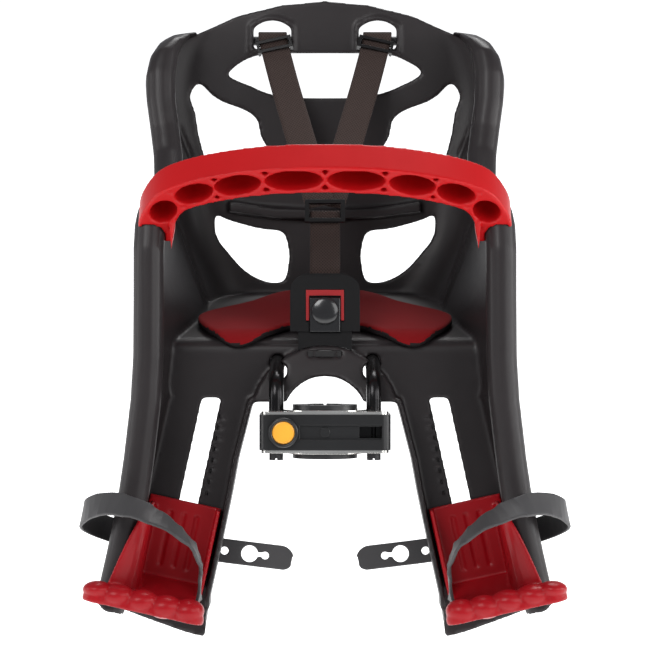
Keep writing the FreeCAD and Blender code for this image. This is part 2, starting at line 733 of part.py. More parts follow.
def clamp_plate(label, side):
    """A steel plate over or under the clamp, with a pressed ring round the stem."""
    name = label.title().replace("_", "")
    start = "bracket_height / 2"
    plate = block(name + "Sheet", "bracket_width - 2 * plate_margin", "bracket_depth - 2 * plate_margin",
                  "plate_thickness", z=f"{side} * ({start} + plate_thickness / 2)")
    plate = rounded(name + "Rounded", plate, size.bracket_corner, upright)
    base = start if side > 0 else f"-({start} + plate_thickness + 0.9)"
    ring = rod(name + "Ring", "liner_flange_diameter + 14", "plate_thickness + 0.9", z=base)
    trim = block(name + "Trim", "bracket_width", "bracket_depth - 2 * plate_margin", "2 * bracket_height")
    holes = [rod(name + "Bore", "stem_diameter + 2 * liner_wall", "bracket_height * 2", z="-bracket_height")]
    for hand in (-1, 1):
        holes.append(rod(f"{name}Rod{hand + 1}", "rod_diameter + 2 * rod_clearance", "bracket_height * 2",
                         x=f"{hand} * rod_spacing / 2", z="-bracket_height"))
    trimmed = doc.addObject("Part::Common", name + "Trimmed")
    trimmed.Base = ring
    trimmed.Tool = trim
    node(label, cut(name, fused(name + "Whole", [plate, trimmed]), holes))


clamp_plate("upper_plate", 1)
clamp_plate("lower_plate", -1)

liner_reach = "(bracket_height / 2 + plate_thickness + 0.9 + liner_flange_thickness)"
liner = fused("LinerWhole", [
    rod("LinerTube", "stem_diameter + 2 * liner_wall", f"2 * {liner_reach}", z=f"-{liner_reach}"),
    rod("LinerTop", "liner_flange_diameter", "liner_flange_thickness",
        z=f"{liner_reach} - liner_flange_thickness"),
    rod("LinerFoot", "liner_flange_diameter", "liner_flange_thickness", z=f"-{liner_reach}"),
])
node("stem_liner", cut("StemLiner", liner, [
    rod("LinerBore", "stem_diameter", f"2 * {liner_reach} + 2", z=f"-{liner_reach} - 1"),
    block("LinerSlit", "2", "liner_flange_diameter", f"2 * {liner_reach} + 2", y="liner_flange_diameter / 2"),
]))

screws = []
for hand in (-1, 1):
    for level in (-1, 1):
        spot = {"x": f"{hand} * clamp_screw_spacing_x / 2", "z": f"{level} * clamp_screw_spacing_z / 2"}
        tag = f"ClampScrew{hand + 1}{level + 1}"
        whole = fused(tag + "Whole", [
            rod(tag + "Shank", "clamp_screw_diameter", "clamp_screw_end + bracket_depth / 2 + 1",
                y="-clamp_screw_end", along="y", **spot),
            rod(tag + "Head", "clamp_screw_head", "clamp_screw_head_height", y="bracket_depth / 2", along="y",
                **spot)])
        socket = rod(tag + "Socket", "clamp_screw_head / 2", "clamp_screw_head_height",
                     y="bracket_depth / 2 + clamp_screw_head_height / 2", along="y", **spot)
        screws.append(cut(tag, whole, [socket]))
group = doc.addObject("Part::Compound", "ClampScrews")
group.Links = screws
node("clamp_screws", group)

button = rod("ButtonCap", "button_diameter", "button_thickness", x="-button_offset",
             y="-bracket_depth / 2 - button_proud", along="y")
button = rounded("ButtonRounded", button, 1.6, lambda edge: abs(edge.BoundBox.YMax + size.bracket_depth / 2
                 + size.button_proud) < 0.01)
shank = rod("ButtonShank", "button_shank",
            f"bracket_depth / 2 + button_proud - button_thickness / 2 - {latch_front} - fit_gap",
            x="-button_offset", y="-bracket_depth / 2 - button_proud + button_thickness / 2", along="y")
node("release_button", fused("ReleaseButton", [button, shank]))

latch = cut("LatchBar", fused("LatchWhole", [
    block("LatchHead", "button_shank + latch_travel + 5", "latch_thickness", "latch_height", x="-button_offset",
          y=f"-({latch_rear} + latch_thickness / 2)"),
    block("LatchTooth", "latch_tooth", f"{latch_rear} - 1", "latch_height", x=tooth_x,
          y=f"-({latch_rear} + 1) / 2"),
]), [block("LatchWedge", "button_shank + latch_travel + 2 * latch_gap", "latch_thickness", "latch_height + 2",
           x="-button_offset - latch_travel / 2", y=f"-({latch_rear} + latch_web + latch_thickness / 2)")])
node("latch_bar", latch)


def coil_spring(label, diameter, wire, length, turns, start):
    """A compression spring that lies along Y from its start."""
    helix = Part.makeHelix(length / turns, length, (diameter - wire) / 2)
    profile = Part.Wire(Part.Circle(Vector((diameter - wire) / 2, 0, 0), Vector(0, 1, 0), wire / 2).toShape())
    coil = Part.Wire(helix.Edges).makePipeShell([profile], True, True)
    place = Placement(Vector(*start), Rotation(Vector(1, 0, 0), -90))
    node(label, solid(label.title().replace("_", ""), coil), place)


spring_room = size.button_travel + size.spring_seat - 2 * size.fit_gap - size.button_spring_wire
coil_spring("button_spring", size.button_shank + 4, size.button_spring_wire, spring_room, 2,
            (-size.button_offset, -size.bracket_depth / 2 - size.button_proud + size.button_thickness
             + size.fit_gap + size.button_spring_wire / 2, 0))


# Fork under the seat

notch_x = -size.rod_spacing / 2 + size.rod_diameter / 2 - size.latch_grip
notch = Part.makeBox(size.latch_grip * 2, size.rod_diameter / 2, size.latch_height + 1.2,
                     Vector(notch_x, -size.rod_diameter / 2, -size.latch_height / 2 - 0.6))
node("support_fork", solid("SupportFork", fork_rod(size.rod_diameter).cut(notch)))

tips = []
for hand in (-1, 1):
    low = "-bracket_height / 2 - plate_thickness - fit_gap - rod_tip_length"
    tip = rod(f"Tip{hand + 1}Body", "rod_diameter - 2 * rod_tip_inset", "rod_tip_length",
              x=f"{hand} * rod_spacing / 2", z=low)
    slot = block(f"Tip{hand + 1}Slot", "1.6", "rod_diameter + 2", "3", x=f"{hand} * rod_spacing / 2", z=low)
    tips.append(cut(f"Tip{hand + 1}", tip, [slot]))
group = doc.addObject("Part::Compound", "RodTips")
group.Links = tips
node("rod_tips", group)

for label, depth in (("fork_clamp_front", size.fork_clamp_front), ("fork_clamp_rear", size.fork_clamp_rear)):
    ends = (depth - size.fork_clamp_length / 2, depth + size.fork_clamp_length / 2)
    low = size.rod_diameter / 2 + size.fork_clamp_lid
    profile = [(y, fork_height(y) - low) for y in ends] + [(y, fork_height(y) - 0.5) for y in reversed(ends)]
    half = size.rod_spacing / 2 + size.rod_diameter / 2 + size.fork_clamp_side
    lid = side_prism(profile, -half, half)
    holes = [fork_screw(x, y, 0.001) for x, y in fork_screw_places() if y == depth]
    node(label, solid(label.title().replace("_", ""), lid.cut([fork_rod(size.rod_diameter + 2 * size.rod_play)] + holes)))

node("fork_screws", solid("ForkScrews",
                          Part.makeCompound([fork_screw(x, y, 0) for x, y in fork_screw_places()])))


# Guard bar: an arch in its own plane, X across, Y away from the child, Z square to the open cells

GUARD_EDGE = [(149.5, -16.0), (149.5, -4.0), (148.0, 8.0), (142.5, 22.0), (132.0, 38.0), (114.0, 49.5),
              (90.0, 57.5), (49.0, 65.5), (0.0, 68.0)]
GUARD_CELLS = [(128.0, 18.5, 13.0, 10.2, 62.0), (103.0, 38.6, 15.8, 10.4, 24.0), (68.5, 48.2, 18.4, 10.8, 12.0),
               (24.5, 53.2, 22.6, 10.9, 2.5)]


def guard_local():
    """The arch's place in the stem frame."""
    base = Vector(0, size.guard_seat_y, size.guard_seat_z)
    return Placement(base, Rotation(Vector(1, 0, 0), 180 - size.guard_pitch))


def guard_outline(inset):
    """The arch's edge, drawn in square to itself by the inset, from right to left."""
    right = GUARD_EDGE
    points = right + [(-x, y) for x, y in right[-2::-1]]
    drawn = []
    for i, (x, y) in enumerate(points):
        x0, y0 = points[max(i - 1, 0)]
        x1, y1 = points[min(i + 1, len(points) - 1)]
        run = math.hypot(x1 - x0, y1 - y0)
        drawn.append(Vector(x - (y1 - y0) / run * inset, y + (x1 - x0) / run * inset, 0))
    return drawn


def guard_face(near, far, height):
    """The arch between two insets as a flat face: a fair curve in front and one behind."""
    front = Part.BSplineCurve()
    front.interpolate(guard_outline(near))
    back = Part.BSplineCurve()
    back.interpolate(guard_outline(far))
    ends = [front.toShape(), back.toShape()]
    sides = [Part.LineSegment(guard_outline(near)[k], guard_outline(far)[k]).toShape() for k in (0, -1)]
    face = Part.Face(Part.Wire(Part.__sortEdges__(ends + sides)))
    face.translate(Vector(0, 0, height))
    return face


def guard_cell(x, y, half_long, half_wide, turn, depth):
    """One oval pocket that opens on the cell face."""
    ring = Part.Ellipse(Vector(0, 0, 0), half_long, half_wide)
    face = Part.Face(Part.Wire(ring.toShape()))
    face.rotate(Vector(0, 0, 0), Vector(0, 0, 1), turn)
    face.translate(Vector(x, y, 1))
    return face.extrude(Vector(0, 0, -depth - 1))


def guard_pockets(depth):
    """The small three-cornered pockets between the ovals, on both sides of the bar's middle."""
    pockets = []
    places = [(121.5, 40.0, 2.8, 1), (86.5, 53.8, 3.2, 1), (46.8, 60.8, 3.6, 1), (0.0, 62.8, 3.8, 1),
              (111.5, 24.5, 2.8, -1), (85.0, 34.6, 3.2, -1), (46.0, 43.2, 3.6, -1), (0.0, 45.4, 3.8, -1)]
    for x, y, half, up in places:
        for hand in (-1, 1) if x else (1,):
            corners = [Vector(hand * x - half, y + up * half * 0.6, 1),
                       Vector(hand * x + half, y + up * half * 0.6, 1), Vector(hand * x, y - up * half, 1)]
            face = Part.Face(Part.makePolygon(corners + corners[:1]))
            pockets.append(face.extrude(Vector(0, 0, -depth - 1)))
    return pockets


def guard_bar():
    bar = guard_face(0, size.guard_width, 0).extrude(Vector(0, 0, -size.guard_thickness))
    depth = size.guard_thickness - size.guard_skin
    cells = []
    for x, y, half_long, half_wide, turn in GUARD_CELLS:
        for hand in (-1, 1):
            cells.append(guard_cell(hand * x, y, half_long, half_wide, -hand * turn, depth))
    bar = bar.cut(cells + guard_pockets(6))
    fang_x = size.guard_half_width - size.rim_diameter + size.rim_proud - 1
    fangs = []
    for hand in (-1, 1):
        corners = [Vector(hand * fang_x, 10, 0), Vector(hand * (fang_x - size.guard_fang), 8, 0),
                   Vector(hand * (fang_x - 1.5), -3, 17), Vector(hand * fang_x, -3, 17)]
        deep = Part.Face(Part.makePolygon([corners[0], corners[1], corners[2], corners[0]]))
        fangs.append(deep.extrude(Vector(0, -7, 0)))
    bar = bar.fuse(fangs)
    inverse = guard_local().inverse().toMatrix()
    for side in (-1, 1):
        tube = rim_tube(size.rim_diameter + 2 * size.fit_gap, rim_stations())
        tube = (tube if side > 0 else mirrored(tube)).transformGeometry(inverse)
        bar = bar.cut(tube)
    return max(bar.Solids, key=lambda part: part.Volume)


node("guard_bar", solid("GuardBar", guard_bar()), guard_local())


# Seat pad: cut from sheet foam, laid on the pan; X across, Y back along the pan

PAD_EDGE = [(0.0, 22.0), (14.0, 21.0), (27.0, 25.0), (41.0, 15.0), (55.0, 8.5), (74.0, 7.0), (90.0, 13.0),
            (103.0, 30.0), (106.5, 48.0), (98.0, 70.0), (82.0, 90.0), (63.0, 110.0), (45.0, 123.0),
            (24.0, 129.0), (0.0, 130.0)]


def seat_pad():
    points = PAD_EDGE + [(-x, y) for x, y in PAD_EDGE[-2:0:-1]]
    curve = Part.BSplineCurve()
    curve.interpolate([Vector(x, y, 0) for x, y in points], PeriodicFlag=True)
    return Part.Face(Part.Wire(curve.toShape())).extrude(Vector(0, 0, size.pad_thickness))


pad_place = Placement(Vector(0, size.pan_front_y, size.pan_front_z + size.pad_gap),
                      Rotation(Vector(1, 0, 0), size.stem_lean))
node("seat_pad", solid("SeatPad", seat_pad()), pad_place)


# Harness

ACROSS = (1, 0, 0)
SHOULDER_ROUTE = [(46.2, 196.8, 330.0), (46.2, 197.1, 335.0), (46.2, 195.6, 338.7), (46.2, 192.0, 340.2),
                  (46.0, 184.5, 341.2), (45.8, 179.0, 339.6), (45.2, 176.2, 334.0), (43.0, 173.2, 324.0),
                  (34.5, 151.0, 291.0), (24.5, 127.0, 256.0), (12.5, 99.0, 214.0), (3.8, 80.6, 184.0)]
CENTRE_ROUTE = [(0.0, 77.6, 179.5), (0.0, 73.5, 172.0), (0.0, 64.5, 156.0), (0.0, 53.0, 138.0), (0.0, 47.2, 129.0), (0.0, 45.5, 122.0),
                (0.0, 45.3, 111.0)]


def shoulder_strap(side):
    """Webbing over the slot's sill and down to the adjuster; the right one lies behind the left one."""
    layer = side * size.web_thickness * 0.9
    stations = []
    for i, (x, y, z) in enumerate(SHOULDER_ROUTE):
        stations.append(((side * x, y + layer * max(0.0, min(1.0, (i - 7) / 2)), z), ACROSS))
    return ribbon(stations, size.web_width, size.web_thickness)


for label, side in (("shoulder_strap_left", -1), ("shoulder_strap_right", 1)):
    node(label, solid(label.title().replace("_", ""), shoulder_strap(side)))
centre = ribbon([(point, ACROSS) for point in CENTRE_ROUTE], size.web_width, size.web_thickness)
node("centre_strap", solid("CentreStrap", centre))


def glide(label, width, height, thickness, bar, grip, layers, point, tilt, turn):
    """A strap slide: a frame in front of the webbing and a bar behind it, joined past its edges."""
    room = size.web_thickness * layers / 2 + 3 * size.fit_gap
    end = (width - size.web_width) / 2 - 2 * size.fit_gap
    front = -thickness / 2 - room
    pieces = []
    for hand in (-1, 1):
        edge = hand * (width - end) / 2 - end / 2
        pieces.append(Part.makeBox(end, thickness / 2, height, Vector(edge, front, -height / 2)))
        pieces.append(Part.makeBox(end, thickness + 2 * room, grip, Vector(edge, front, -grip / 2)))
        pieces.append(Part.makeBox(width, thickness / 2, bar,
                                   Vector(-width / 2, front, hand * (height - bar) / 2 - bar / 2)))
    pieces.append(Part.makeBox(width, thickness / 2, bar, Vector(-width / 2, room, -bar / 2)))
    shape = pieces[0].fuse(pieces[1:]).removeSplitter()
    place = Placement(Vector(*point), Rotation(Vector(0, 1, 0), turn).multiply(Rotation(Vector(1, 0, 0), tilt)))
    node(label, solid(label.title().replace("_", ""), shape), place)


def strap_tilt(low, high):
    """How far a strap leans back between two of its points."""
    return -math.degrees(math.atan2(high[1] - low[1], high[2] - low[2]))


slide_point = [(a + b) / 2 for a, b in zip(SHOULDER_ROUTE[6], SHOULDER_ROUTE[7])]
for label, side in (("slide_buckle_left", -1), ("slide_buckle_right", 1)):
    turn = math.degrees(math.atan2(SHOULDER_ROUTE[6][0] - SHOULDER_ROUTE[7][0],
                                   SHOULDER_ROUTE[6][2] - SHOULDER_ROUTE[7][2]))
    glide(label, size.slide_width, size.slide_height, size.slide_thickness, size.slide_bar,
          size.slide_height, 1, (side * slide_point[0], slide_point[1], slide_point[2]),
          strap_tilt(SHOULDER_ROUTE[7], SHOULDER_ROUTE[6]), side * turn)

glide("centre_adjuster", size.adjuster_width, size.adjuster_height, size.adjuster_depth, size.adjuster_bar,
      size.adjuster_bar + 1, 2.6, (0, size.adjuster_y, size.adjuster_z),
      strap_tilt(CENTRE_ROUTE[1], CENTRE_ROUTE[0]), 0)
for label, side in (("anchor_bar_left", -1), ("anchor_bar_right", 1)):
    name = label.title().replace("_", "")
    spot = {"y": "anchor_y", "z": "anchor_z"}
    pieces = [rod(name + "Bar", "anchor_diameter", "anchor_length",
                  x=f"{side} * strap_slot_x - anchor_length / 2", along="x", **spot)]
    for hand in (-1, 1):
        pieces.append(rod(f"{name}End{hand + 1}", "2 * (anchor_y - back_depth)", "3",
                          x=f"{side} * strap_slot_x + {hand} * (anchor_length / 2 - 1.5) - 1.5", along="x", **spot))
    node(label, fused(name, pieces))


# Buckle at the crotch

def rounded_plate(half_wide, low, high, radius, near, far):
    """A plate in the front view whose upper corners are round."""
    crown = [(half_wide - radius + radius * math.sin(math.radians(a)),
              high - radius + radius * math.cos(math.radians(a))) for a in (0, 22.5, 45, 67.5, 90)]
    outline = [(-x, z) for x, z in reversed(crown)] + crown + [(half_wide, low), (-half_wide, low)]
    return front_prism(outline, near, far)


def tongue_outline(grow):
    top = size.buckle_bottom + 34 + grow
    half = size.tongue_width / 2 + grow
    return top, half


def buckle_body():
    front = size.buckle_y
    low = size.buckle_bottom
    half = size.buckle_width / 2
    body = rounded_plate(half, low, low + size.buckle_height, 12, front, front + size.buckle_depth)
    body = body.fuse(rounded_plate(half - 4, low, low + size.buckle_height + 1.5, 10, front + 1.5,
                                   front + size.buckle_depth - 1.5))
    step = Part.makeBox(44, 9.2, 24, Vector(-22, front + 1.8, low - 23))
    high = size.apron_rise - size.apron_foot
    vault = (size.apron_half_width ** 2 + high ** 2) / (2 * high)
    step = step.cut(Part.makeCylinder(vault + size.fit_gap, 90, Vector(0, 0, size.apron_rise - vault),
                                      Vector(0, 1, 0)))
    top, tongue_half = tongue_outline(size.fit_gap)
    tongue_room = Part.makeBox(2 * tongue_half, size.tongue_depth + size.fit_gap, top - low - 8,
                               Vector(-tongue_half, front, low + 8))
    press_half = size.press_width / 2 + size.fit_gap
    press_room = Part.makeBox(2 * press_half, size.press_depth + size.press_travel, size.press_height,
                              Vector(-press_half, front, low - 1))
    web_room = Part.makeBox(size.web_width + 2, size.web_thickness + 3, size.buckle_height,
                            Vector(-size.web_width / 2 - 1, front + 5.4, low + 30))
    return body.fuse(step).cut([tongue_room, press_room, web_room])


def buckle_tongue():
    top, half = tongue_outline(0)
    front = size.buckle_y
    low = size.buckle_bottom + 9
    frame = Part.makeBox(2 * half, size.tongue_depth, top - low, Vector(-half, front, low))
    inner = Part.makeBox(2 * (half - size.tongue_bar), size.tongue_depth, top - low - 4.7,
                         Vector(-half + size.tongue_bar, front, low))
    return frame.cut(inner)


node("buckle_body", solid("BuckleBody", buckle_body()))
node("buckle_tongue", solid("BuckleTongue", buckle_tongue()))
press_z = "buckle_bottom - 1 + press_height / 2"
press = block("PressPlate", "press_width", "press_depth", "press_height - 2 * fit_gap",
              y="buckle_y + press_depth / 2 - press_proud", z=press_z)
press = rounded("PressRounded", press, 1.2,
                lambda edge: abs(edge.BoundBox.YMax - size.buckle_y + size.press_proud) < 0.01)
dome = rod("PressDome", "press_dome", "press_depth / 2", y="buckle_y - press_proud - 1", z=press_z, along="y")
node("buckle_button", fused("BuckleButton", [press, dome]))
coil_spring("buckle_spring", 9, size.button_spring_wire,
            size.press_travel + size.press_proud - 2 * size.fit_gap - size.button_spring_wire, 2,
            (0, size.buckle_y + size.press_depth - size.press_proud + size.fit_gap
             + size.button_spring_wire / 2, size.buckle_bottom - 1 + size.press_height / 2))


# Footrests: drawn in the frame of the leg, X outwards, Z up the slot, at the seat's right side

def foot_local():
    base = Vector(slot_x(size.foot_rest_height), 0, size.foot_rest_height)
    return Placement(base, Rotation(Vector(0, 1, 0), -size.leg_tilt))


def tray_level(depth):
    """Height of the tray's upper face, which falls towards the toes."""
    rear = size.leg_back_y - size.fit_gap
    return -size.foot_height - (rear - depth) * math.tan(math.radians(size.tray_fall))


def lobes(radius, drop):
    """The rolled lip as a row of balls with a bar through them."""
    pitch = size.foot_lip_width / size.foot_lobe_count
    left = size.foot_inner - size.lip_inner
    start = left + pitch / 2
    centre_y = -size.rim_diameter / 2 - size.fit_gap - 1.2 - size.foot_lobe_diameter / 2
    level = tray_level(centre_y) - drop
    balls = []
    for i in range(int(size.foot_lobe_count)):
        ball = Part.makeSphere(radius * 1.16, Vector(0, 0, 0))
        squash = FreeCAD.Matrix()
        squash.scale(1.0, 1 / 1.16, 1 / 1.16)
        ball = ball.transformGeometry(squash)
        ball.translate(Vector(start + i * pitch, centre_y, level))
        balls.append(ball)
    bar = Part.makeCylinder(radius * 0.84, size.foot_lip_width - pitch, Vector(start, centre_y, level),
                            Vector(1, 0, 0))
    return balls[0].fuse(balls[1:] + [bar])


def foot_neck(grow):
    """The tongue that reaches from the footrest through the slot into its key."""
    front = size.leg_back_y - size.fit_gap - size.foot_plate / 2
    rear = size.leg_back_y + size.shell_wall + size.fit_gap + size.foot_key_thickness
    half = size.slot_width / 2 - size.fit_gap + grow
    high = 20 + 2 * grow
    return Part.makeBox(2 * half, rear - front, high, Vector(-half, front, size.peg_height + 5 - grow))


def footrest():
    plate = size.foot_plate
    rear = size.leg_back_y - size.fit_gap
    left, right = size.foot_inner, size.foot_inner + size.foot_width
    back = Part.makeBox(size.foot_width, plate, size.foot_height + 4, Vector(left, rear - plate, -size.foot_height - 2))
    toe = -size.rim_diameter / 2 - 4
    profile = [(rear, tray_level(rear)), (toe, tray_level(toe)), (toe, tray_level(toe) - plate),
               (rear, tray_level(rear) - plate)]
    tray = side_prism(profile, left, right - 4)
    inner = side_prism([(rear, 2), (rear - 26, 2), (rear - 36, tray_level(rear - 36)), (rear, tray_level(rear))],
                       left, left + plate)
    outer = side_prism([(rear, -6), (rear - 6, -6), (18, tray_level(18)), (rear, tray_level(rear))],
                       right - plate - 4, right - 4)
    grooves = []
    for i in range(3):
        x = size.foot_inner + 16 + i * 11
        grooves.append(Part.makeBox(4.5, 1.2, size.foot_height - 16,
                                    Vector(x, rear - plate, -size.foot_height + 8)))
    lip = lobes(size.foot_lobe_diameter / 2, 5)
    inside = lobes(size.foot_lobe_diameter / 2 - plate, 5)
    below = Part.makeBox(200, 60, 60, Vector(-90, -60, tray_level(-24) - 5 - 60 - 3))
    neck = foot_neck(0)
    shape = back.fuse([tray, inner, outer, neck]).cut(grooves).cut(inside)
    shape = shape.fuse(lip.cut([inside, below]))
    return max(shape.removeSplitter().Solids, key=lambda part: part.Volume)


def foot_key():
    """The key that holds the footrest from behind the slot."""
    rear = size.leg_back_y + size.shell_wall + size.fit_gap
    plate = Part.makeBox(size.foot_key_length, size.foot_key_thickness, 40,
                         Vector(-size.foot_key_length / 2, rear, size.peg_height - 12))
    return plate.cut(foot_neck(0.002))


def in_seat_frame(shape, side):
    """A shape of the right leg's frame, stood in the stem frame on either side."""
    shape = shape.copy()
    shape.Placement = foot_local()
    return Part.makeCompound([shape if side > 0 else mirrored(shape)])


FOOT_STRAP = [(101.6, -7.0, -136.5), (99.5, -12.0, -122.0), (98.5, -24.0, -106.0), (104.0, -43.0, -88.0),
              (116.0, -53.0, -75.0), (134.0, -56.0, -64.0), (153.0, -48.0, -57.5), (177.0, -25.0, -57.0),
              (190.0, -6.0, -62.5), (194.5, 12.0, -69.0), (189.0, 32.0, -76.0), (176.0, 49.0, -83.0),
              (160.0, 58.5, -88.5), (140.0, 61.5, -92.5), (120.6, 61.8, -96.0), (100.0, 61.8, -99.2),
              (83.0, 61.8, -101.6), (56.0, 61.8, -105.0), (27.0, 61.8, -108.5)]


def foot_strap():
    lean = math.radians(size.leg_tilt)
    stations = []
    for i, point in enumerate(FOOT_STRAP):
        part = max(0.0, min(1.0, (i - 9) / 5))
        across = Vector(-math.sin(lean), 0, math.cos(lean)) * (1 - part) + Vector(0.13, 0, 1) * part
        stations.append((point, tuple(across)))
    band = ribbon(stations, size.strap_width, size.strap_thickness)
    peg = foot_local().multVec(Vector(0, 0, size.peg_height))
    holes = [Part.makeCylinder(size.strap_peg_diameter / 2 + size.fit_gap, 30, Vector(peg.x, 50, peg.z),
                               Vector(0, 1, 0))]
    for x, radius in ((83.0, 3.3), (62.3, 6.9), (49.5, 3.2)):
        z = -101.6 - (83.0 - x) * 0.123
        holes.append(Part.makeCylinder(radius, 30, Vector(x, 50, z), Vector(0, 1, 0)))
    link = Part.makeBox(12, 30, 3.4, Vector(50, 50, -106.6))
    return band.cut(holes + [link])


def strap_peg():
    start = size.leg_back_y + size.shell_wall + size.fit_gap + size.foot_key_thickness
    shank = Part.makeCylinder(size.strap_peg_diameter / 2, 7.5, Vector(0, start, size.peg_height), Vector(0, 1, 0))
    head = Part.makeCylinder(size.strap_peg_head / 2, 2, Vector(0, start + 7, size.peg_height), Vector(0, 1, 0))
    return shank.fuse(head)


for hand, side in (("left", -1), ("right", 1)):
    node(f"footrest_{hand}", solid(f"Footrest{hand.title()}", in_seat_frame(footrest(), side)))
    node(f"footrest_key_{hand}", solid(f"FootrestKey{hand.title()}", in_seat_frame(foot_key(), side)))
    node(f"strap_peg_{hand}", solid(f"StrapPeg{hand.title()}", in_seat_frame(strap_peg(), side)))
    band = foot_strap() if side > 0 else mirrored(foot_strap())
    node(f"foot_strap_{hand}", solid(f"FootStrap{hand.title()}", band))


# Write the parts

doc.recompute()
for thing in doc.Objects:
    if "Invalid" in thing.State or "Error" in thing.State:
        raise RuntimeError(f"{thing.Name} did not rebuild: {thing.State}")
for thing in NODES:
    if thing.Shape.isNull() or not thing.Shape.isValid():
        raise RuntimeError(f"{thing.Label} has no sound shape")
for thing in NODES:
    thing.Shape.exportStep(f"parts/{thing.Label}.step")
    print(thing.Label, len(thing.Shape.Solids), "solid,", round(thing.Shape.Volume / 1000, 2), "cm3")
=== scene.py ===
# %% [markdown]
# # A child's bicycle seat, dressed for its portrait
#
# The CAD parts of the seat are loaded first. This script then rounds the moulded parts, weaves the
# harness, bends the seat pad over the front of the pan, gives every piece its material, and sets up the
# floor, the lights and the camera. Each cell does one step and prints what it made.

import json
import math

import bmesh
import bpy
import numpy as np
from mathutils import Matrix, Vector
from mathutils.bvhtree import BVHTree


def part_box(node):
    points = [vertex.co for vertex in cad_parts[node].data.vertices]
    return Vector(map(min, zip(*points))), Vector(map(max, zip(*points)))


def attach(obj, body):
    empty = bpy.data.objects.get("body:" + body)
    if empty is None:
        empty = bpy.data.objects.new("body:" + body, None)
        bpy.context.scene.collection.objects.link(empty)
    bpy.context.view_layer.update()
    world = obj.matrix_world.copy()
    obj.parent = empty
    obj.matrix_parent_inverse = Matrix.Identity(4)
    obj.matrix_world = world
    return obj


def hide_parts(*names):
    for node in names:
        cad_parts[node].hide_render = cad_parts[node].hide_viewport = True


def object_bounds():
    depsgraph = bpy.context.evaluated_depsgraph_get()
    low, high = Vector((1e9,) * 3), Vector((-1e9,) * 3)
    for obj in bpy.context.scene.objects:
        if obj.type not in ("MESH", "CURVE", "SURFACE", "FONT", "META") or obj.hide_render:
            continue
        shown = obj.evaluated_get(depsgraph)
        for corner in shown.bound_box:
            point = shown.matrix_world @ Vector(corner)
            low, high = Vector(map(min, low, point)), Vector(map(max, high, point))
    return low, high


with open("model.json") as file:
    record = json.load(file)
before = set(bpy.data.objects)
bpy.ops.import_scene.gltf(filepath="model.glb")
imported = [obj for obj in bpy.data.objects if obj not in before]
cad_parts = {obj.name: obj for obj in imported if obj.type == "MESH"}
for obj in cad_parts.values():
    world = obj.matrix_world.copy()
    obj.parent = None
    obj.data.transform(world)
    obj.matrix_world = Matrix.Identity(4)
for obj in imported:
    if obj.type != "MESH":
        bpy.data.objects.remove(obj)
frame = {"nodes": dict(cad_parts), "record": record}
cad_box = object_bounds()
nodes = frame["nodes"]

# %% [markdown]
# ## Two frames
#
# The seat leans back with the stem by 17 degrees. Its own sizes are easier to write in the upright frame of
# the seat, in millimetres, so `place` turns such a point into the frame of the scene, in metres. The camera
# stands EYE_BACK in front and EYE_UP above the clamp, and FOCUS is its focal length in pixels of the picture.

# %%
LEAN = math.radians(17)
LEAN_TURN = Matrix.Rotation(-LEAN, 4, "X")
TURN = np.array(LEAN_TURN.to_3x3())
EYE_BACK = 1900.0
EYE_UP = 84.8
FOCUS = 2375.0
PICTURE_SIDE = 650
PICTURE_MIDDLE = PICTURE_SIDE / 2
SIDES = (("left", -1), ("right", 1))


def place(x, y, z):
    """A point of the upright seat frame, in millimetres, as a point of the scene, in metres."""
    return LEAN_TURN @ (Vector((x, y, z)) / 1000)


def tone(red, green, blue):
    """A colour as screens give it, 0 to 255, as the linear colour that shaders want."""
    return tuple((c / 255 / 12.92) if c < 11 else ((c / 255 + 0.055) / 1.055) ** 2.4
                 for c in (red, green, blue)) + (1.0,)


print("the stem's direction:", [round(c, 4) for c in place(0, 0, 1000)])

# %% [markdown]
# ## The shader helpers
#
# A plastic surface is never one flat colour: it has a fine grain from the mould and broad, faint changes in
# shine. `surface` builds a Principled material with both, in Object coordinates, and a Bevel node that
# catches light on the edges. Values that are the same everywhere sit on the shader's own sockets.

# %%
def add(tree, kind, **inputs):
    """A shader node with its inputs set."""
    made = tree.nodes.new(kind)
    for key, value in inputs.items():
        made.inputs[key.replace("_", " ")].default_value = value
    return made


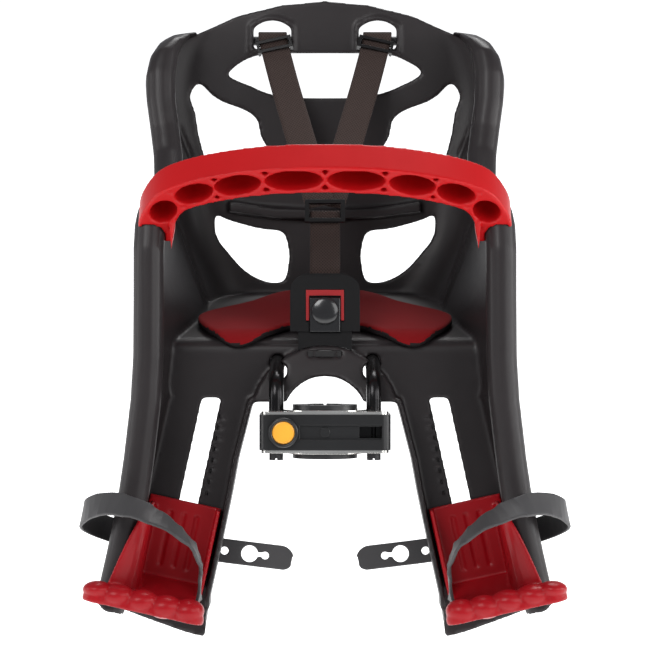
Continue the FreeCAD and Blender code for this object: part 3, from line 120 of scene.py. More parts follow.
def surface(name, colour, roughness, grain=900.0, depth=0.15, change=0.12, shine_change=0.1, metal=0.0,
            specular=0.5, coat=0.0, edge=0.0006, sheen=0.0, stretch=(1, 1, 1)):
    """A material with a mould grain, a faint change of colour and shine, and softened edges."""
    made = bpy.data.materials.new(name)
    made.use_nodes = True
    tree = made.node_tree
    shader = tree.nodes["Principled BSDF"]
    shader.inputs["Metallic"].default_value = metal
    shader.inputs["Specular IOR Level"].default_value = specular
    shader.inputs["Coat Weight"].default_value = coat
    shader.inputs["Coat Roughness"].default_value = 0.12
    shader.inputs["Sheen Weight"].default_value = sheen
    made.diffuse_color = colour
    where = tree.nodes.new("ShaderNodeTexCoord")
    mapping = add(tree, "ShaderNodeMapping", Scale=stretch)
    tree.links.new(where.outputs["Object"], mapping.inputs["Vector"])
    broad = add(tree, "ShaderNodeTexNoise", Scale=14.0, Detail=3.0, Roughness=0.6)
    fine = add(tree, "ShaderNodeTexNoise", Scale=grain, Detail=2.0, Roughness=0.55)
    for texture in (broad, fine):
        tree.links.new(mapping.outputs["Vector"], texture.inputs["Vector"])
    ramp = tree.nodes.new("ShaderNodeValToRGB")
    ramp.color_ramp.elements[0].position = 0.3
    ramp.color_ramp.elements[1].position = 0.7
    ramp.color_ramp.elements[0].color = tuple(c * (1 - change) for c in colour[:3]) + (1,)
    ramp.color_ramp.elements[1].color = tuple(min(1, c * (1 + change)) for c in colour[:3]) + (1,)
    tree.links.new(broad.outputs["Fac"], ramp.inputs["Fac"])
    tree.links.new(ramp.outputs["Color"], shader.inputs["Base Color"])
    shine = add(tree, "ShaderNodeMapRange", To_Min=roughness - shine_change / 2,
                To_Max=roughness + shine_change / 2)
    tree.links.new(broad.outputs["Fac"], shine.inputs["Value"])
    tree.links.new(shine.outputs["Result"], shader.inputs["Roughness"])
    rounding = add(tree, "ShaderNodeBevel", Radius=edge)
    rounding.samples = 4
    bump = add(tree, "ShaderNodeBump", Strength=depth, Distance=0.0003)
    tree.links.new(fine.outputs["Fac"], bump.inputs["Height"])
    tree.links.new(rounding.outputs["Normal"], bump.inputs["Normal"])
    tree.links.new(bump.outputs["Normal"], shader.inputs["Normal"])
    return made


finishes = {
    "shell_plastic": surface("shell_plastic", tone(36, 32, 33), 0.40, grain=1100, depth=0.2, specular=0.3),
    "bracket_plastic": surface("bracket_plastic", tone(19, 19, 20), 0.34, grain=1300, depth=0.15),
    "bright_steel": surface("bright_steel", tone(232, 231, 226), 0.2, grain=600, depth=0.05, metal=1.0,
                            stretch=(1, 9, 9)),
    "liner_plastic": surface("liner_plastic", tone(26, 26, 28), 0.4),
    "screw_steel": surface("screw_steel", tone(170, 170, 172), 0.3, metal=1.0),
    "button_orange": surface("button_orange", tone(240, 168, 52), 0.25, grain=500, depth=0.04, coat=0.4),
    "latch_steel": surface("latch_steel", tone(150, 150, 152), 0.35, metal=1.0),
    "spring_steel": surface("spring_steel", tone(160, 160, 165), 0.3, metal=1.0, edge=0.0001),
    "rod_steel": surface("rod_steel", tone(40, 39, 40), 0.24, grain=700, depth=0.05, metal=0.85),
    "tip_plastic": surface("tip_plastic", tone(28, 28, 30), 0.45),
    "zinc_plate": surface("zinc_plate", tone(165, 166, 168), 0.4, metal=1.0),
    "guard_red": surface("guard_red", tone(176, 14, 18), 0.36, grain=800, depth=0.08, change=0.05,
                         specular=0.2, coat=0.05),
    "buckle_black": surface("buckle_black", tone(14, 13, 14), 0.36, grain=1200, depth=0.15, specular=0.3),
    "anchor_plastic": surface("anchor_plastic", tone(36, 35, 37), 0.45),
    "tongue_red": surface("tongue_red", tone(150, 20, 24), 0.36, change=0.05, coat=0.2),
    "button_black": surface("button_black", tone(24, 24, 26), 0.22, depth=0.06, coat=0.5),
    "footrest_red": surface("footrest_red", tone(150, 12, 22), 0.36, grain=700, depth=0.06, change=0.06,
                            specular=0.2, coat=0.05),
    "key_plastic": surface("key_plastic", tone(150, 22, 28), 0.4),
    "peg_plastic": surface("peg_plastic", tone(30, 30, 32), 0.4),
    "strap_rubber": surface("strap_rubber", tone(58, 57, 58), 0.46, grain=1500, depth=0.1, specular=0.3),
}
slots = {entry["node"]: entry["material_slot"] for entry in frame["record"]["subparts"]}


def dress(thing, finish):
    """Gives an object one material in all its places."""
    thing.data.materials.clear()
    thing.data.materials.append(finish)


for name, node in nodes.items():
    if slots[name] in finishes:
        for i in range(len(node.material_slots)):
            node.material_slots[i].material = finishes[slots[name]]
print(len(finishes), "finishes mixed")

# %% [markdown]
# ## Moulded parts get rounded edges
#
# Injection moulding leaves no sharp edge. A voxel Remesh turns a CAD solid into an even skin, a few rounds of
# smoothing round its edges, and Decimate thins the skin where it is flat. The modifiers are worked out once
# and kept as a plain mesh.

# %%
def settled(thing):
    """Replaces an object's mesh by what its modifiers make of it."""
    graph = bpy.context.evaluated_depsgraph_get()
    made = bpy.data.meshes.new_from_object(thing.evaluated_get(graph))
    thing.modifiers.clear()
    old = thing.data
    thing.data = made
    bpy.data.meshes.remove(old)
    return thing


def skin_points(thing):
    """An object's corners as an array."""
    at = np.empty(len(thing.data.vertices) * 3, np.float32)
    thing.data.vertices.foreach_get("co", at)
    return at.reshape(-1, 3)


def set_points(thing, at):
    """Puts an array back as an object's corners."""
    thing.data.vertices.foreach_set("co", np.ascontiguousarray(at, np.float32).ravel())
    thing.data.update()


def moulded(name, source, voxel, rounds, wanted, extras=()):
    """A CAD node, with extra closed solids grown in, as a rounded moulding of a wanted triangle count."""
    mesh = nodes[source].data.copy()
    if extras:
        work = bmesh.new()
        work.from_mesh(mesh)
        for extra in extras:
            work.from_mesh(extra)
        work.to_mesh(mesh)
        work.free()
    made = bpy.data.objects.new(name, mesh)
    bpy.context.scene.collection.objects.link(made)
    skin = made.modifiers.new("Skin", "REMESH")
    skin.mode = "VOXEL"
    skin.voxel_size = voxel
    settled(made)
    smooth = made.modifiers.new("Round", "SMOOTH")
    smooth.factor = 0.5
    smooth.iterations = rounds
    count = 2 * len(made.data.polygons)
    if count > wanted:
        thin = made.modifiers.new("Thin", "DECIMATE")
        thin.ratio = wanted / count
    settled(made)
    made.data.shade_smooth()
    print(name, "from", source, "with", len(made.data.polygons), "faces")
    return made


# %% [markdown]
# Two forms of the footrest are grown into its skin: the thin gusset that runs from the back plate round the
# front of the leg guard's rail, and the fat scallops of the lip. The gusset is a sheet through three columns
# of points, given as places in the picture with a depth, and Solidify makes it a closed plate.

# %%
def from_picture(across, down, depth):
    """The point of the upright seat frame that shows at a place of the picture, at a depth in mm."""
    scale = (EYE_BACK + depth) / FOCUS
    return (across - PICTURE_MIDDLE) * scale, depth, EYE_UP + (PICTURE_MIDDLE - down) * scale


GUSSET_THICKNESS = 0.0026
GUSSET = [
    [(152, 500, 44), (154, 501, 20), (153, 501, 14)],
    [(149, 515, 44), (153, 513, -9), (146, 509, -17)],
    [(146, 533, 44), (151, 531, -9), (132, 531, -17)],
    [(142, 555, 44), (147, 554, -9), (121, 553, -17.5)],
    [(138, 578, 44), (143, 580, -9), (109, 580, -18)],
    [(136, 590, 44), (141, 592, -9), (104, 592, -18)],
]


def gusset(hand):
    """The footrest's side plate as a closed mesh, for the left (-1) or the right (1) foot."""
    corners, faces = [], []
    columns = len(GUSSET[0])
    for line in GUSSET:
        for spot in line:
            x, y, z = from_picture(*spot)
            corners.append(place(x if hand < 0 else -x, y, z))
    for i in range(len(GUSSET) - 1):
        for j in range(columns - 1):
            a = i * columns + j
            faces.append((a, a + 1, a + columns + 1, a + columns))
    mesh = bpy.data.meshes.new("gusset")
    mesh.from_pydata(corners, [], faces)
    sheet = bpy.data.objects.new("gusset", mesh)
    bpy.context.scene.collection.objects.link(sheet)
    bend = sheet.modifiers.new("Bend", "SUBSURF")
    bend.levels = 2
    thick = sheet.modifiers.new("Thick", "SOLIDIFY")
    thick.thickness = GUSSET_THICKNESS
    thick.offset = 0
    settled(sheet)
    made = sheet.data
    bpy.data.objects.remove(sheet)
    return made


LOBES = [(97, 589, 11.5, 6.5), (117, 595, 13.5, 8.5), (141, 601, 14.0, 9.0), (165, 607, 14.0, 9.5),
         (188, 611, 13.0, 9.5)]
LOBE_PLACE = -25
LOBE_DEPTH = 0.0125


def toe_lobes(hand):
    """The scallops of the lip: squashed balls in front of the leg guard."""
    made = []
    for across, down, wide, high in LOBES:
        x, y, z = from_picture(across, down, LOBE_PLACE)
        work = bmesh.new()
        bmesh.ops.create_uvsphere(work, u_segments=24, v_segments=16, radius=1)
        size_of = Matrix.Diagonal((wide / 1000, LOBE_DEPTH, high / 1000, 1))
        spot = Matrix.Translation(place(x if hand < 0 else -x, y, z))
        bmesh.ops.transform(work, matrix=spot @ LEAN_TURN @ size_of, verts=work.verts)
        mesh = bpy.data.meshes.new("lobe")
        work.to_mesh(mesh)
        work.free()
        made.append(mesh)
    return made


coarse = 1.0
shell = moulded("shell", "seat_shell", voxel=0.0017 * coarse, rounds=4, wanted=185000)
guard = moulded("guard", "guard_bar", voxel=0.0011 * coarse, rounds=3, wanted=90000)
footrests = {side: moulded("footrest_" + side + "_moulding", "footrest_" + side, voxel=0.0011 * coarse,
                           rounds=3, wanted=60000, extras=[gusset(hand)] + toe_lobes(hand))
             for side, hand in SIDES}
foot_straps = {side: moulded("foot_band_" + side, "foot_strap_" + side, voxel=0.0007 * coarse, rounds=6,
                             wanted=60000)
               for side, _ in SIDES}

# %% [markdown]
# Each moulding then takes the place of its CAD node and moves with the same body.

# %%
def stands_for(piece, body, finish, *names):
    """A piece takes over from CAD nodes and gets the finish of the given name."""
    dress(piece, finishes[finish])
    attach(piece, body)
    if names:
        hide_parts(*names)


stands_for(shell, "seat", "shell_plastic", "seat_shell")
stands_for(guard, "seat", "guard_red", "guard_bar")
for side, piece in footrests.items():
    stands_for(piece, "foot_" + side, "footrest_red", "footrest_" + side)
for side, piece in foot_straps.items():
    stands_for(piece, "foot_" + side, "strap_rubber", "foot_strap_" + side)
mouldings = (shell, guard, *footrests.values(), *foot_straps.values())
print("mouldings placed:", [piece.name for piece in mouldings])

# %% [markdown]
# ## The wing's shoulder
#
# Each wing's rolled edge runs smoothly into the top of the backrest. Points that would show above that
# outline are drawn down to it: the nearer a point comes to the outline, the more it is held back.

# %%
SHOULDER_LINE = [(130, 110), (143, 78), (146, 64), (151, 50), (160, 39), (174, 32), (192, 28), (211, 23),
                 (240, 15)]
SOFT_REACH = 20.0


OUTER_END, INNER_END, LOWER_END = 131, 238, 120
OUTER_FADE, INNER_FADE = 12, 40


def ease_shoulders(thing):
    """Holds back what shows above the shoulder line, and says how many points that were."""
    upright = skin_points(thing) @ TURN * 1000
    scale = (EYE_BACK + upright[:, 1]) / FOCUS
    across = PICTURE_MIDDLE - np.abs(upright[:, 0]) / scale
    down = PICTURE_MIDDLE - (upright[:, 2] - EYE_UP) / scale
    line_x, line_y = np.array(SHOULDER_LINE, float).T
    limit = np.interp(across, line_x, line_y)
    inside = (across > OUTER_END) & (across < INNER_END) & (down < LOWER_END)
    over = np.where(inside, np.clip(limit + SOFT_REACH - down, 0, None), 0)
    held = SOFT_REACH * (1 - np.exp(-over / SOFT_REACH))
    fade = np.clip((INNER_END - across) / INNER_FADE, 0, 1) * np.clip((across - OUTER_END) / OUTER_FADE, 0, 1)
    upright[:, 2] -= (over - held) * fade * scale
    set_points(thing, upright / 1000 @ TURN.T)
    return int((over > 0).sum())


print("shoulder points eased:", ease_shoulders(shell))

# %% [markdown]
# ## The foot straps' twist
#
# In front of the foot the rubber strap lies back, so that it shows almost edge-on beside the leg. Each point
# keeps its place on the strap while the strap's width is turned about its own line.

# %%
FOOT_ROUTE = [(101.6, -7.0, -136.5), (99.5, -12.0, -122.0), (98.5, -24.0, -106.0), (104.0, -43.0, -88.0),
              (116.0, -53.0, -75.0), (134.0, -56.0, -64.0), (153.0, -48.0, -57.5), (177.0, -25.0, -57.0),
              (190.0, -6.0, -62.5), (194.5, 12.0, -69.0)]
FOOT_WIDTHS = [(0, 1, 0.0), (0, 1, 0.0), (0, 1, 0.05), (0, 1, 0.1), (0, 0.9, 0.4), (0, 0.8, 0.6),
               (0, 0.75, 0.66), (0, 0.6, 0.8), (-0.1, 0.3, 0.95), (-0.2147, 0, 0.9767)]
CAD_WIDTH = np.array((-0.2147, 0, 0.9767))
LINE_COUNT = 1200
LOOP_END = 16
TAIL_START = 60
TAIL_RADIUS = 10.0


def unit(v):
    """Rows of a table as directions of length one."""
    return v / np.linalg.norm(v, axis=-1, keepdims=True)


def along(rows):
    """The table's rows at LINE_COUNT even steps from the first row to the last."""
    rows = np.array(rows)
    steps = np.linspace(0, len(rows) - 1, LINE_COUNT)
    return np.stack([np.interp(steps, range(len(rows)), rows[:, k]) for k in range(3)], 1)


def eased(rows, reach=45):
    """Rows of a table averaged with their neighbours, so that directions change evenly."""
    edged = np.pad(rows, ((reach, reach), (0, 0)), mode="edge")
    total = np.cumsum(np.vstack([np.zeros((1, rows.shape[1])), edged]), axis=0)
    width = 2 * reach + 1
    return (total[width:] - total[:-width]) / width


def round_end(at):
    """Rounds the strap's free end, in a frame where the strap runs towards smaller X."""
    tail = (at[:, 0] < TAIL_START) & (at[:, 1] > 0)
    start = at[tail, 0].min()
    slope, offset = np.polyfit(at[tail, 0], at[tail, 2], 1)
    left = np.clip(1 - (at[tail, 0] - start) / TAIL_RADIUS, 0, 1)
    middle_z = slope * at[tail, 0] + offset
    at[tail, 2] = middle_z + (at[tail, 2] - middle_z) * np.sqrt(1 - left ** 2)


def twist(thing, hand):
    """Turns the front loop of a foot strap about its own line."""
    at = skin_points(thing) @ TURN * 1000
    at[:, 0] *= hand
    line, wide = along(FOOT_ROUTE), eased(along(FOOT_WIDTHS))
    ahead = unit(eased(unit(np.gradient(line, axis=0))))
    old_wide = unit(CAD_WIDTH - ahead * (ahead @ CAD_WIDTH)[:, None])
    new_wide = unit(wide - ahead * (ahead * wide).sum(1)[:, None])
    old_out, new_out = np.cross(ahead, old_wide), np.cross(ahead, new_wide)
    front = np.where(at[:, 1] < LOOP_END)[0]
    best = np.concatenate([((some[:, None] - line[None]) ** 2).sum(2).argmin(1)
                           for some in np.array_split(at[front], 1 + len(front) // 3000)])
    keep = best < len(line) - 1
    front, best = front[keep], best[keep]
    off = at[front] - line[best]
    a, b, c = ((off * basis[best]).sum(1)[:, None] for basis in (old_wide, old_out, ahead))
    at[front] = line[best] + new_wide[best] * a + new_out[best] * b + ahead[best] * c
    round_end(at)
    at[:, 0] *= hand
    set_points(thing, at / 1000 @ TURN.T)


for side, hand in SIDES:
    twist(foot_straps[side], hand)
print("foot straps turned")

# %% [markdown]
# ## Lines pressed into the shell
#
# Some lines of the moulding are drawn where the camera sees them. A ray from the camera through a place in
# the picture finds the shell, and the skin near such a line is pressed in along its own normal, deepest on
# the line and nothing at the groove's edge.

# %%
EYE = place(0, -EYE_BACK, EYE_UP)


def finder(thing):
    """A search tree of an object's faces."""
    corners = [v.co for v in thing.data.vertices]
    return BVHTree.FromPolygons(corners, [list(f.vertices) for f in thing.data.polygons])


def seen_at(tree, across, down):
    """Where the picture's point (across, down) lies on a piece, and which way the skin faces there."""
    ray = LEAN_TURN.to_3x3() @ Vector((across - PICTURE_MIDDLE, FOCUS, PICTURE_MIDDLE - down)).normalized()
    spot, normal, _, _ = tree.ray_cast(EYE, ray)
    return spot, normal


def drawn_on(tree, line, step=1.5):
    """A line of the picture as close points on a piece."""
    spots = []
    for (x0, y0), (x1, y1) in zip(line, line[1:]):
        count = max(2, int(math.hypot(x1 - x0, y1 - y0) / step))
        for i in range(count):
            spot, _ = seen_at(tree, x0 + (x1 - x0) * i / count, y0 + (y1 - y0) * i / count)
            if spot:
                spots.append(spot)
    return spots


def press(thing, spots, half_width, depth):
    """Pushes the skin near some spots in by depth, with a smooth edge."""
    at = skin_points(thing)
    facing = np.array([v.normal for v in thing.data.vertices], np.float32)
    marks = np.array([tuple(s) for s in spots], np.float32)
    low, high = marks.min(0) - half_width, marks.max(0) + half_width
    near = np.where(np.all((at > low) & (at < high), axis=1))[0]
    gap = np.full(len(near), 1e9)
    for mark in marks:
        gap = np.minimum(gap, np.linalg.norm(at[near] - mark, axis=1))
    look = np.array(LEAN_TURN.to_3x3() @ Vector((0, 1, 0)))
    share = np.clip(1 - (gap / half_width) ** 2, 0, 1) ** 1.5
    share *= (facing[near] @ look) < 0.25
    at[near] -= (share * depth)[:, None] * facing[near]
    set_points(thing, at)


def both_sides(line):
    """A line of the picture and its mirror image about the seat's middle."""
    return [line, [(PICTURE_SIDE - x, y) for x, y in line]]


YOKE_LINES = (335, 343)
GROOVES = [
    ([(178, 218), (186, 243), (194, 265), (200, 280), (205, 294), (209, 302)], 0.0030, 0.0016),
    ([(177, 120), (184, 139), (191, 156)], 0.0034, 0.0016),
    ([(200, 366), (216, 369), (236, 373)], 0.0026, 0.0012),
]
shell_tree = finder(shell)
for line, half_width, depth in GROOVES:
    for one in both_sides(line):
        spots = drawn_on(shell_tree, one)
        if spots:
            press(shell, spots, half_width, depth)
for height in YOKE_LINES:
    press(shell, drawn_on(shell_tree, [(299, height), (351, height)], 1.0), 0.0022, 0.0010)
print("grooves pressed:", 2 * len(GROOVES) + len(YOKE_LINES))

# %% [markdown]
# ## The seat pad
#
# The pad is a thin moulded foam. The CAD solid is flat; here its skin is remeshed, its rim is smoothed, and
# its two front lobes are wrapped round the pan's rolled front edge. A point that lies past the start of the
# roll keeps its height above the pan and its length along it.

# %%
NOSE_RADIUS = 0.013
PAN_NOSE = place(0, 63.0, 72.0 + 13 * math.tan(LEAN) - 13 / math.cos(LEAN))
PAN_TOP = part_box("seat_pad")[0][2] - 0.0003
NARROW_START, NARROW_SHARE = 0.118, 0.22
LOBE_MIDDLE, LOBE_WIDTH, LOBE_REACH, LOBE_END = 0.074, 0.030, 0.011, 0.128
FADE_LENGTH = 0.05


def bend_pad(thing):
    """Narrows the pad behind, draws out its two lobes, bends them over the pan, and counts the bent points."""
    at = skin_points(thing)
    ease = np.clip((at[:, 1] - NARROW_START) / FADE_LENGTH, 0, 1)
    at[:, 0] *= 1 - NARROW_SHARE * ease * ease * (3 - 2 * ease)
    lobe = np.exp(-((np.abs(at[:, 0]) - LOBE_MIDDLE) / LOBE_WIDTH) ** 2)
    at[:, 1] -= LOBE_REACH * lobe * np.clip((LOBE_END - at[:, 1]) / FADE_LENGTH, 0, 1)
    height = at[:, 2] - PAN_TOP
    past = np.clip(PAN_NOSE[1] - at[:, 1], 0, None)
    bend = past / NOSE_RADIUS
    over = past > 0
    at[over, 1] = PAN_NOSE[1] - (NOSE_RADIUS + height[over]) * np.sin(bend[over])
    at[over, 2] = PAN_TOP - NOSE_RADIUS + (NOSE_RADIUS + height[over]) * np.cos(bend[over])
    set_points(thing, at)
    return int(over.sum())


pad = moulded("pad", "seat_pad", voxel=0.0016, rounds=6, wanted=60000)
bent = bend_pad(pad)
finishes["pad_foam"] = surface("pad_foam", tone(118, 16, 20), 0.8, grain=1600, depth=0.35, change=0.08,
                               specular=0.06, sheen=0.05)
# The pad's sides and underside get a near-black finish: partly a black foam base, partly painted shade below
# the pad's rim.
foam_base_and_shade = surface("pad_base_and_shade", tone(30, 24, 25), 0.8, grain=1600, depth=0.3, specular=0.2)
stands_for(pad, "seat", "pad_foam", "seat_pad")
pad.data.materials.append(foam_base_and_shade)
# Faces that do not face up take the dark finish: the black base together with painted shade.
for face in pad.data.polygons:
    face.material_index = 1 if face.normal.z < 0.3 else 0
print("pad faces:", len(pad.data.polygons), "bent:", bent)

# %% [markdown]
# ## Webbing
#
# A strap is a flat band that follows a smooth line. Its UV map is in millimetres, across and along, so one
# woven material suits every strap: two sine waves at right angles make the small bumps of the weave.

# %%
def even_line(points, step):
    """Points a step apart on a smooth line through the given ones, all in metres."""
    points = [Vector(p) for p in points]
    ends = [points[0] * 2 - points[1]] + points + [points[-1] * 2 - points[-2]]
    fine = []
    for a, b, c, d in zip(ends, ends[1:], ends[2:], ends[3:]):
        for i in range(24):
            t = i / 24
            fine.append(0.5 * (2 * b + (c - a) * t + (2 * a - 5 * b + 4 * c - d) * t * t
                               + (3 * b - a - 3 * c + d) * t * t * t))
    fine.append(points[-1])
    out, left = [fine[0]], step
    for a, b in zip(fine, fine[1:]):
        run = (b - a).length
        while run >= left > 0:
            a = a + (b - a) * (left / run)
            out.append(a)
            run = (b - a).length
            left = step
        left -= run
    out.append(points[-1])
    return out


def webbing(name, points, width, thickness, step=0.0022):
    """A woven band through points of the scene, its width held level across the seat."""
    line = even_line(points, step)
    half, thick, soft = width / 2, thickness / 2, thickness * 0.3
    outline = [(-half, 0), (-half + soft, thick)]
    outline += [(-half + soft + (width - 2 * soft) * i / 8, thick) for i in range(1, 8)]
    outline += [(half - soft, thick), (half, 0), (half - soft, -thick)]
    outline += [(half - soft - (width - 2 * soft) * i / 8, -thick) for i in range(1, 8)]
    outline += [(-half + soft, -thick)]
    ring = len(outline)
    corners, faces, uvs = [], [], []
    for i, middle in enumerate(line):
        ahead = (line[min(i + 1, len(line) - 1)] - line[max(i - 1, 0)]).normalized()
        across = (Vector((1, 0, 0)) - ahead * ahead.x).normalized()
        out = ahead.cross(across)
        corners += [middle + across * x + out * y for x, y in outline]
        for j in range(ring if i else 0):
            k = (j + 1) % ring
            faces.append(((i - 1) * ring + j, (i - 1) * ring + k, i * ring + k, i * ring + j))
            for column, row in ((j, i - 1), (k, i - 1), (k, i), (j, i)):
                uvs.append((outline[column][0] * 1000, row * step * 1000))
    for start in (0, (len(line) - 1) * ring):
        faces.append(tuple(range(start, start + ring)))
        uvs += [(x * 1000, y * 1000) for x, y in outline]
    mesh = bpy.data.meshes.new(name)
    mesh.from_pydata(corners, [], faces)
    layer = mesh.uv_layers.new(name="Weave")
    layer.data.foreach_set("uv", [c for uv in uvs for c in uv])
    made = bpy.data.objects.new(name, mesh)
    bpy.context.scene.collection.objects.link(made)
    work = bmesh.new()
    work.from_mesh(mesh)
    bmesh.ops.recalc_face_normals(work, faces=work.faces)
    work.to_mesh(mesh)
    work.free()
    mesh.shade_smooth()
    return made


def woven(name, colour, thread):
    """A plain weave by UV in millimetres, with threads of the given pitch."""
    made = surface(name, colour, 0.8, grain=2500, depth=0.3, change=0.15, specular=0.1, sheen=0.08)
    tree = made.node_tree
    shader = tree.nodes["Principled BSDF"]
    where = tree.nodes.new("ShaderNodeUVMap")
    where.uv_map = "Weave"
    split = tree.nodes.new("ShaderNodeSeparateXYZ")
    tree.links.new(where.outputs["UV"], split.inputs["Vector"])
    waves = []
    for axis, pitch in (("X", thread), ("Y", thread * 1.15)):
        scaled = tree.nodes.new("ShaderNodeMath")
        scaled.operation = "MULTIPLY"
        scaled.inputs[1].default_value = 2 * math.pi / pitch
        wave = tree.nodes.new("ShaderNodeMath")
        wave.operation = "SINE"
        tree.links.new(split.outputs[axis], scaled.inputs[0])
        tree.links.new(scaled.outputs["Value"], wave.inputs[0])
        waves.append(wave)
    both = tree.nodes.new("ShaderNodeMath")
    both.operation = "MULTIPLY"
    tree.links.new(waves[0].outputs["Value"], both.inputs[0])
    tree.links.new(waves[1].outputs["Value"], both.inputs[1])
    ramp = tree.nodes.new("ShaderNodeValToRGB")
    ramp.color_ramp.elements[0].position = 0.0
    ramp.color_ramp.elements[0].color = tuple(c * 0.55 for c in colour[:3]) + (1,)
    ramp.color_ramp.elements[1].position = 0.6
    ramp.color_ramp.elements[1].color = tuple(c * 1.35 for c in colour[:3]) + (1,)
    lift = add(tree, "ShaderNodeMapRange", From_Min=-1.0, From_Max=1.0)
    tree.links.new(both.outputs["Value"], lift.inputs["Value"])
    tree.links.new(lift.outputs["Result"], ramp.inputs["Fac"])
    tree.links.new(ramp.outputs["Color"], shader.inputs["Base Color"])
    bump = add(tree, "ShaderNodeBump", Strength=0.6, Distance=0.0004)
    before = shader.inputs["Normal"].links[0].from_socket
    tree.links.new(before, bump.inputs["Normal"])
    tree.links.new(lift.outputs["Result"], bump.inputs["Height"])
    tree.links.new(bump.outputs["Normal"], shader.inputs["Normal"])
    return made


finishes["webbing"] = woven("webbing", tone(54, 44, 41), 2.6)
WEB_WIDTH = 0.025
WEB_THICKNESS = 0.0016
SHOULDER = [(46.2, 196.8, 330.0), (46.2, 197.1, 335.0), (46.2, 195.6, 338.7), (46.2, 192.0, 340.2),
            (46.0, 184.5, 341.2), (45.8, 179.0, 339.6), (45.2, 176.2, 334.0), (43.0, 173.2, 324.0),
            (34.5, 151.0, 291.0), (24.5, 127.0, 256.0), (12.5, 99.0, 214.0), (3.8, 80.6, 184.0)]
CENTRE = [(0.0, 77.6, 179.5), (0.0, 73.5, 172.0), (0.0, 64.5, 156.0), (0.0, 53.0, 138.0), (0.0, 47.2, 129.0),
          (0.0, 45.5, 122.0), (0.0, 45.3, 111.0)]
for side, hand in SIDES:
    layer = hand * WEB_THICKNESS * 900
    route = [place(hand * x, y + layer * max(0.0, min(1.0, (i - 7) / 2)), z)
             for i, (x, y, z) in enumerate(SHOULDER)]
    stands_for(webbing("shoulder_web_" + side, route, WEB_WIDTH, WEB_THICKNESS), "seat", "webbing",
               "shoulder_strap_" + side)
stands_for(webbing("centre_web", [place(*p) for p in CENTRE], WEB_WIDTH, WEB_THICKNESS), "seat", "webbing",
           "centre_strap")
print("webbing laid: two shoulder straps and one centre strap")

# %% [markdown]
# ## Rows of small things
#
# The height notches repeat evenly along a line, which is a job for Geometry Nodes. The tree takes a curve,
# sets out a number of points on it, puts a small block on each, turned along the curve, and makes them real.
# Its inputs have names, so one tree serves both rows.

# %%
def row_tree():
    """A node tree that sets blocks evenly along a curve."""
    tree = bpy.data.node_groups.new("RowOfBlocks", "GeometryNodeTree")
    face = tree.interface
    face.new_socket("Geometry", in_out="INPUT", socket_type="NodeSocketGeometry")
    for label, kind in (("Count", "NodeSocketInt"), ("Block Size", "NodeSocketVector"),
                        ("Finish", "NodeSocketMaterial")):
        face.new_socket(label, in_out="INPUT", socket_type=kind)
    face.new_socket("Geometry", in_out="OUTPUT", socket_type="NodeSocketGeometry")
    kinds = {"start": "NodeGroupInput", "points": "GeometryNodeCurveToPoints", "cube": "GeometryNodeMeshCube",
             "put": "GeometryNodeInstanceOnPoints", "real": "GeometryNodeRealizeInstances",
             "paint": "GeometryNodeSetMaterial", "end": "NodeGroupOutput"}
    parts = {key: tree.nodes.new(kind) for key, kind in kinds.items()}
    for a, out, b, into in (("start", "Geometry", "points", "Curve"), ("start", "Count", "points", "Count"),
                            ("start", "Block Size", "cube", "Size"), ("points", "Points", "put", "Points"),
                            ("points", "Rotation", "put", "Rotation"), ("cube", "Mesh", "put", "Instance"),
                            ("put", "Instances", "real", "Geometry"), ("real", "Geometry", "paint", "Geometry"),
                            ("start", "Finish", "paint", "Material"), ("paint", "Geometry", "end", "Geometry")):
        tree.links.new(parts[a].outputs[out], parts[b].inputs[into])
    return tree


ROWS = row_tree()


def row(name, points, count, block_size, finish):
    """Small blocks along a line: the size is (across, out, along) in metres."""
    curve = bpy.data.curves.new(name, "CURVE")
    curve.dimensions = "3D"
    line = curve.splines.new("POLY")
    line.points.add(len(points) - 1)
    for spot, p in zip(line.points, points):
        spot.co = (*p, 1)
    made = bpy.data.objects.new(name + "_line", curve)
    bpy.context.scene.collection.objects.link(made)
    step = made.modifiers.new("Row", "NODES")
    step.node_group = ROWS
    values = {"Count": count, "Block Size": block_size, "Finish": finishes[finish]}
    for item in ROWS.interface.items_tree:
        if item.in_out == "INPUT" and item.name in values:
            step[item.identifier] = values[item.name]
    graph = bpy.context.evaluated_depsgraph_get()
    mesh = bpy.data.meshes.new_from_object(made.evaluated_get(graph))
    bpy.data.objects.remove(made)
    solid = bpy.data.objects.new(name, mesh)
    bpy.context.scene.collection.objects.link(solid)
    return solid


# %% [markdown]
# A dark collar stands round the release button, two ribs lie in the apron's slot, which is a block painted in
# shade colour, and a dome sits on the buckle's button.

# %%
def block(name, centre, sizes, finish, body):
    """A small box, square to the seat, with its edges rounded by a Bevel modifier."""
    work = bmesh.new()
    bmesh.ops.create_cube(work, size=1)
    turn = LEAN_TURN @ Matrix.Diagonal((*sizes, 1))
    bmesh.ops.transform(work, matrix=Matrix.Translation(centre) @ turn, verts=work.verts)
    mesh = bpy.data.meshes.new(name)
    work.to_mesh(mesh)
    work.free()
    made = bpy.data.objects.new(name, mesh)
    bpy.context.scene.collection.objects.link(made)
    soft = made.modifiers.new("Soft", "BEVEL")
    soft.width = min(sizes) * 0.25
    soft.segments = 2
    settled(made)
    dress(made, finishes[finish])
    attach(made, body)


BUTTON_PLACE = (-32.8, -32.6, 0)
DOME_FLATNESS = 0.24
SLOT_ACROSS, SLOT_DOWN = 324.6, 354
SLOT_RIBS = (314, 336)
bpy.ops.mesh.primitive_torus_add(major_segments=64, minor_segments=16, major_radius=0.0104,
                                 minor_radius=0.0015)
collar = bpy.context.object
collar.name = "button_collar"
facing = LEAN_TURN @ Matrix.Rotation(math.radians(90), 4, "X")
collar.data.transform(Matrix.Translation(place(*BUTTON_PLACE)) @ facing)
collar.data.shade_smooth()
dress(collar, finishes["bracket_plastic"])
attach(collar, "bracket")

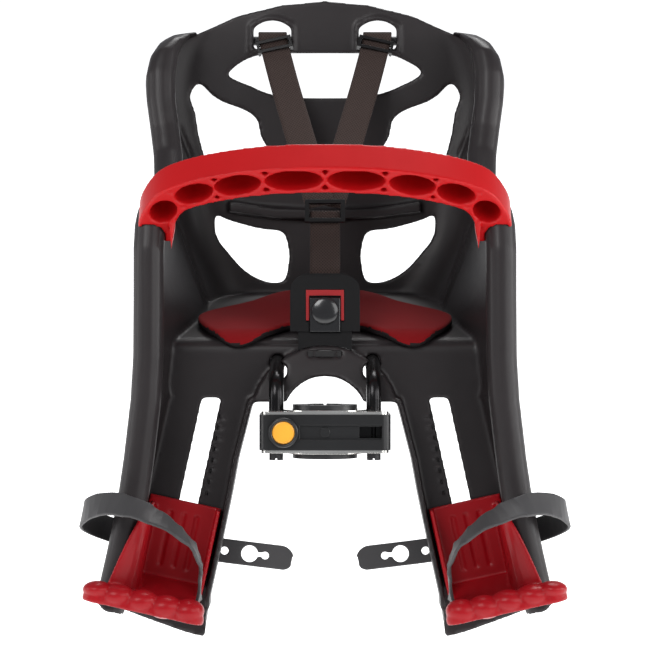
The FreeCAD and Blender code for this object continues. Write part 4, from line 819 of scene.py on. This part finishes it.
shell_tree = finder(shell)
# shell_shadow is painted shade: the height notches and the apron's slot are small dark blocks that stand for
# recesses in shade.
finishes["shell_shadow"] = surface("shell_shadow", tone(20, 18, 19), 0.5, grain=1100, depth=0.2)
for side, line in zip(("left", "right"), both_sides([(218.5, 416), (206, 496)])):
    piece = row("height_notches_" + side, drawn_on(shell_tree, line, 3.0), 8, (0.0022, 0.0012, 0.0034),
                "shell_shadow")
    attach(piece, "seat")
apron_face, _ = seen_at(shell_tree, 345, SLOT_DOWN)
apron_depth = (LEAN_TURN.inverted() @ apron_face).y * 1000
slot_at = place(*from_picture(SLOT_ACROSS, SLOT_DOWN, apron_depth + 0.6))
# The slot is painted shade: a dark block set into the apron where its slot lies in shade.
block("apron_slot", slot_at, (0.0275, 0.0020, 0.0052), "shell_shadow", "seat")
for i, across in enumerate(SLOT_RIBS):
    rib_at = place(*from_picture(across, SLOT_DOWN, apron_depth - 0.4))
    block(f"apron_rib_{i}", rib_at, (0.0018, 0.0012, 0.0046), "shell_plastic", "seat")
button_face, _ = seen_at(finder(nodes["buckle_button"]), 325, 311)
bpy.ops.mesh.primitive_uv_sphere_add(segments=48, ring_count=24, radius=0.0112)
dome = bpy.context.object
dome.name = "button_dome"
dome.data.transform(Matrix.Translation(button_face) @ LEAN_TURN @ Matrix.Diagonal((1, DOME_FLATNESS, 1, 1)))
dome.data.shade_smooth()
dress(dome, finishes["button_black"])
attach(dome, "buckle_release")
print("rows, collar, button dome and apron slot set out")

# %% [markdown]
# ## The floor, the lights and the camera
#
# The camera looks along the stem's own cross plane, so the seat is seen square from the front. A white world
# shows only to the camera; a softer grey one lights the seat, together with five large area lights.

# %%
camera_data = bpy.data.cameras.new("Camera")
camera_data.lens = 131.5
camera_data.sensor_width = 36.0
camera = bpy.data.objects.new("Camera", camera_data)
camera.location = EYE
camera.rotation_euler = (math.radians(90) - LEAN, 0, 0)
bpy.context.scene.collection.objects.link(camera)
bpy.context.scene.camera = camera
bpy.context.scene.view_settings.view_transform = "Standard"


def lamp(name, place_at, aim, size, power):
    """A square area light that points at a place."""
    data = bpy.data.lights.new(name, "AREA")
    data.size = size
    data.energy = power
    made = bpy.data.objects.new(name, data)
    made.location = place_at
    made.rotation_euler = (Vector(aim) - Vector(place_at)).to_track_quat("-Z", "Y").to_euler()
    bpy.context.scene.collection.objects.link(made)


middle = (0, 0.1, 0.05)
lamp("Key", (-0.9, -1.3, 1.7), middle, 1.1, 26)
lamp("Fill", (1.3, -1.2, 0.9), middle, 1.2, 13)
lamp("Back", (0.3, 1.5, 1.6), middle, 1.0, 22)
lamp("Left", (-1.6, -0.1, 0.4), middle, 0.8, 7)
lamp("Right", (1.6, -0.1, 0.4), middle, 0.8, 13)

world = bpy.data.worlds.new("World")
bpy.context.scene.world = world
world.use_nodes = True
tree = world.node_tree
seen = tree.nodes["Background"]
seen.inputs["Color"].default_value = (1, 1, 1, 1)
ambient = add(tree, "ShaderNodeBackground", Color=(0.93, 0.95, 1.0, 1), Strength=0.32)
path = tree.nodes.new("ShaderNodeLightPath")
mix = tree.nodes.new("ShaderNodeMixShader")
tree.links.new(path.outputs["Is Camera Ray"], mix.inputs["Fac"])
tree.links.new(ambient.outputs["Background"], mix.inputs[1])
tree.links.new(seen.outputs["Background"], mix.inputs[2])
tree.links.new(mix.outputs["Shader"], tree.nodes["World Output"].inputs["Surface"])

floor_mesh = bpy.data.meshes.new("Floor")
FLOOR_HALF = 4
FLOOR_DROP = 0.12
floor_level = cad_box[0][2] - FLOOR_DROP
floor_corners = [(x * FLOOR_HALF, y * FLOOR_HALF, floor_level) for x, y in ((-1, -1), (1, -1), (1, 1), (-1, 1))]
floor_mesh.from_pydata(floor_corners, [], [(0, 1, 2, 3)])
floor = bpy.data.objects.new("Floor", floor_mesh)
bpy.context.scene.collection.objects.link(floor)
floor_finish = bpy.data.materials.new("Floor")
floor_finish.use_nodes = True
floor_shader = floor_finish.node_tree.nodes["Principled BSDF"]
floor_shader.inputs["Base Color"].default_value = (0.92, 0.92, 0.92, 1)
floor_shader.inputs["Roughness"].default_value = 0.9
floor_shader.inputs["Emission Color"].default_value = (1, 1, 1, 1)
floor_shader.inputs["Emission Strength"].default_value = 0.8
floor.data.materials.append(floor_finish)
print("floor at", round(floor_level, 3))
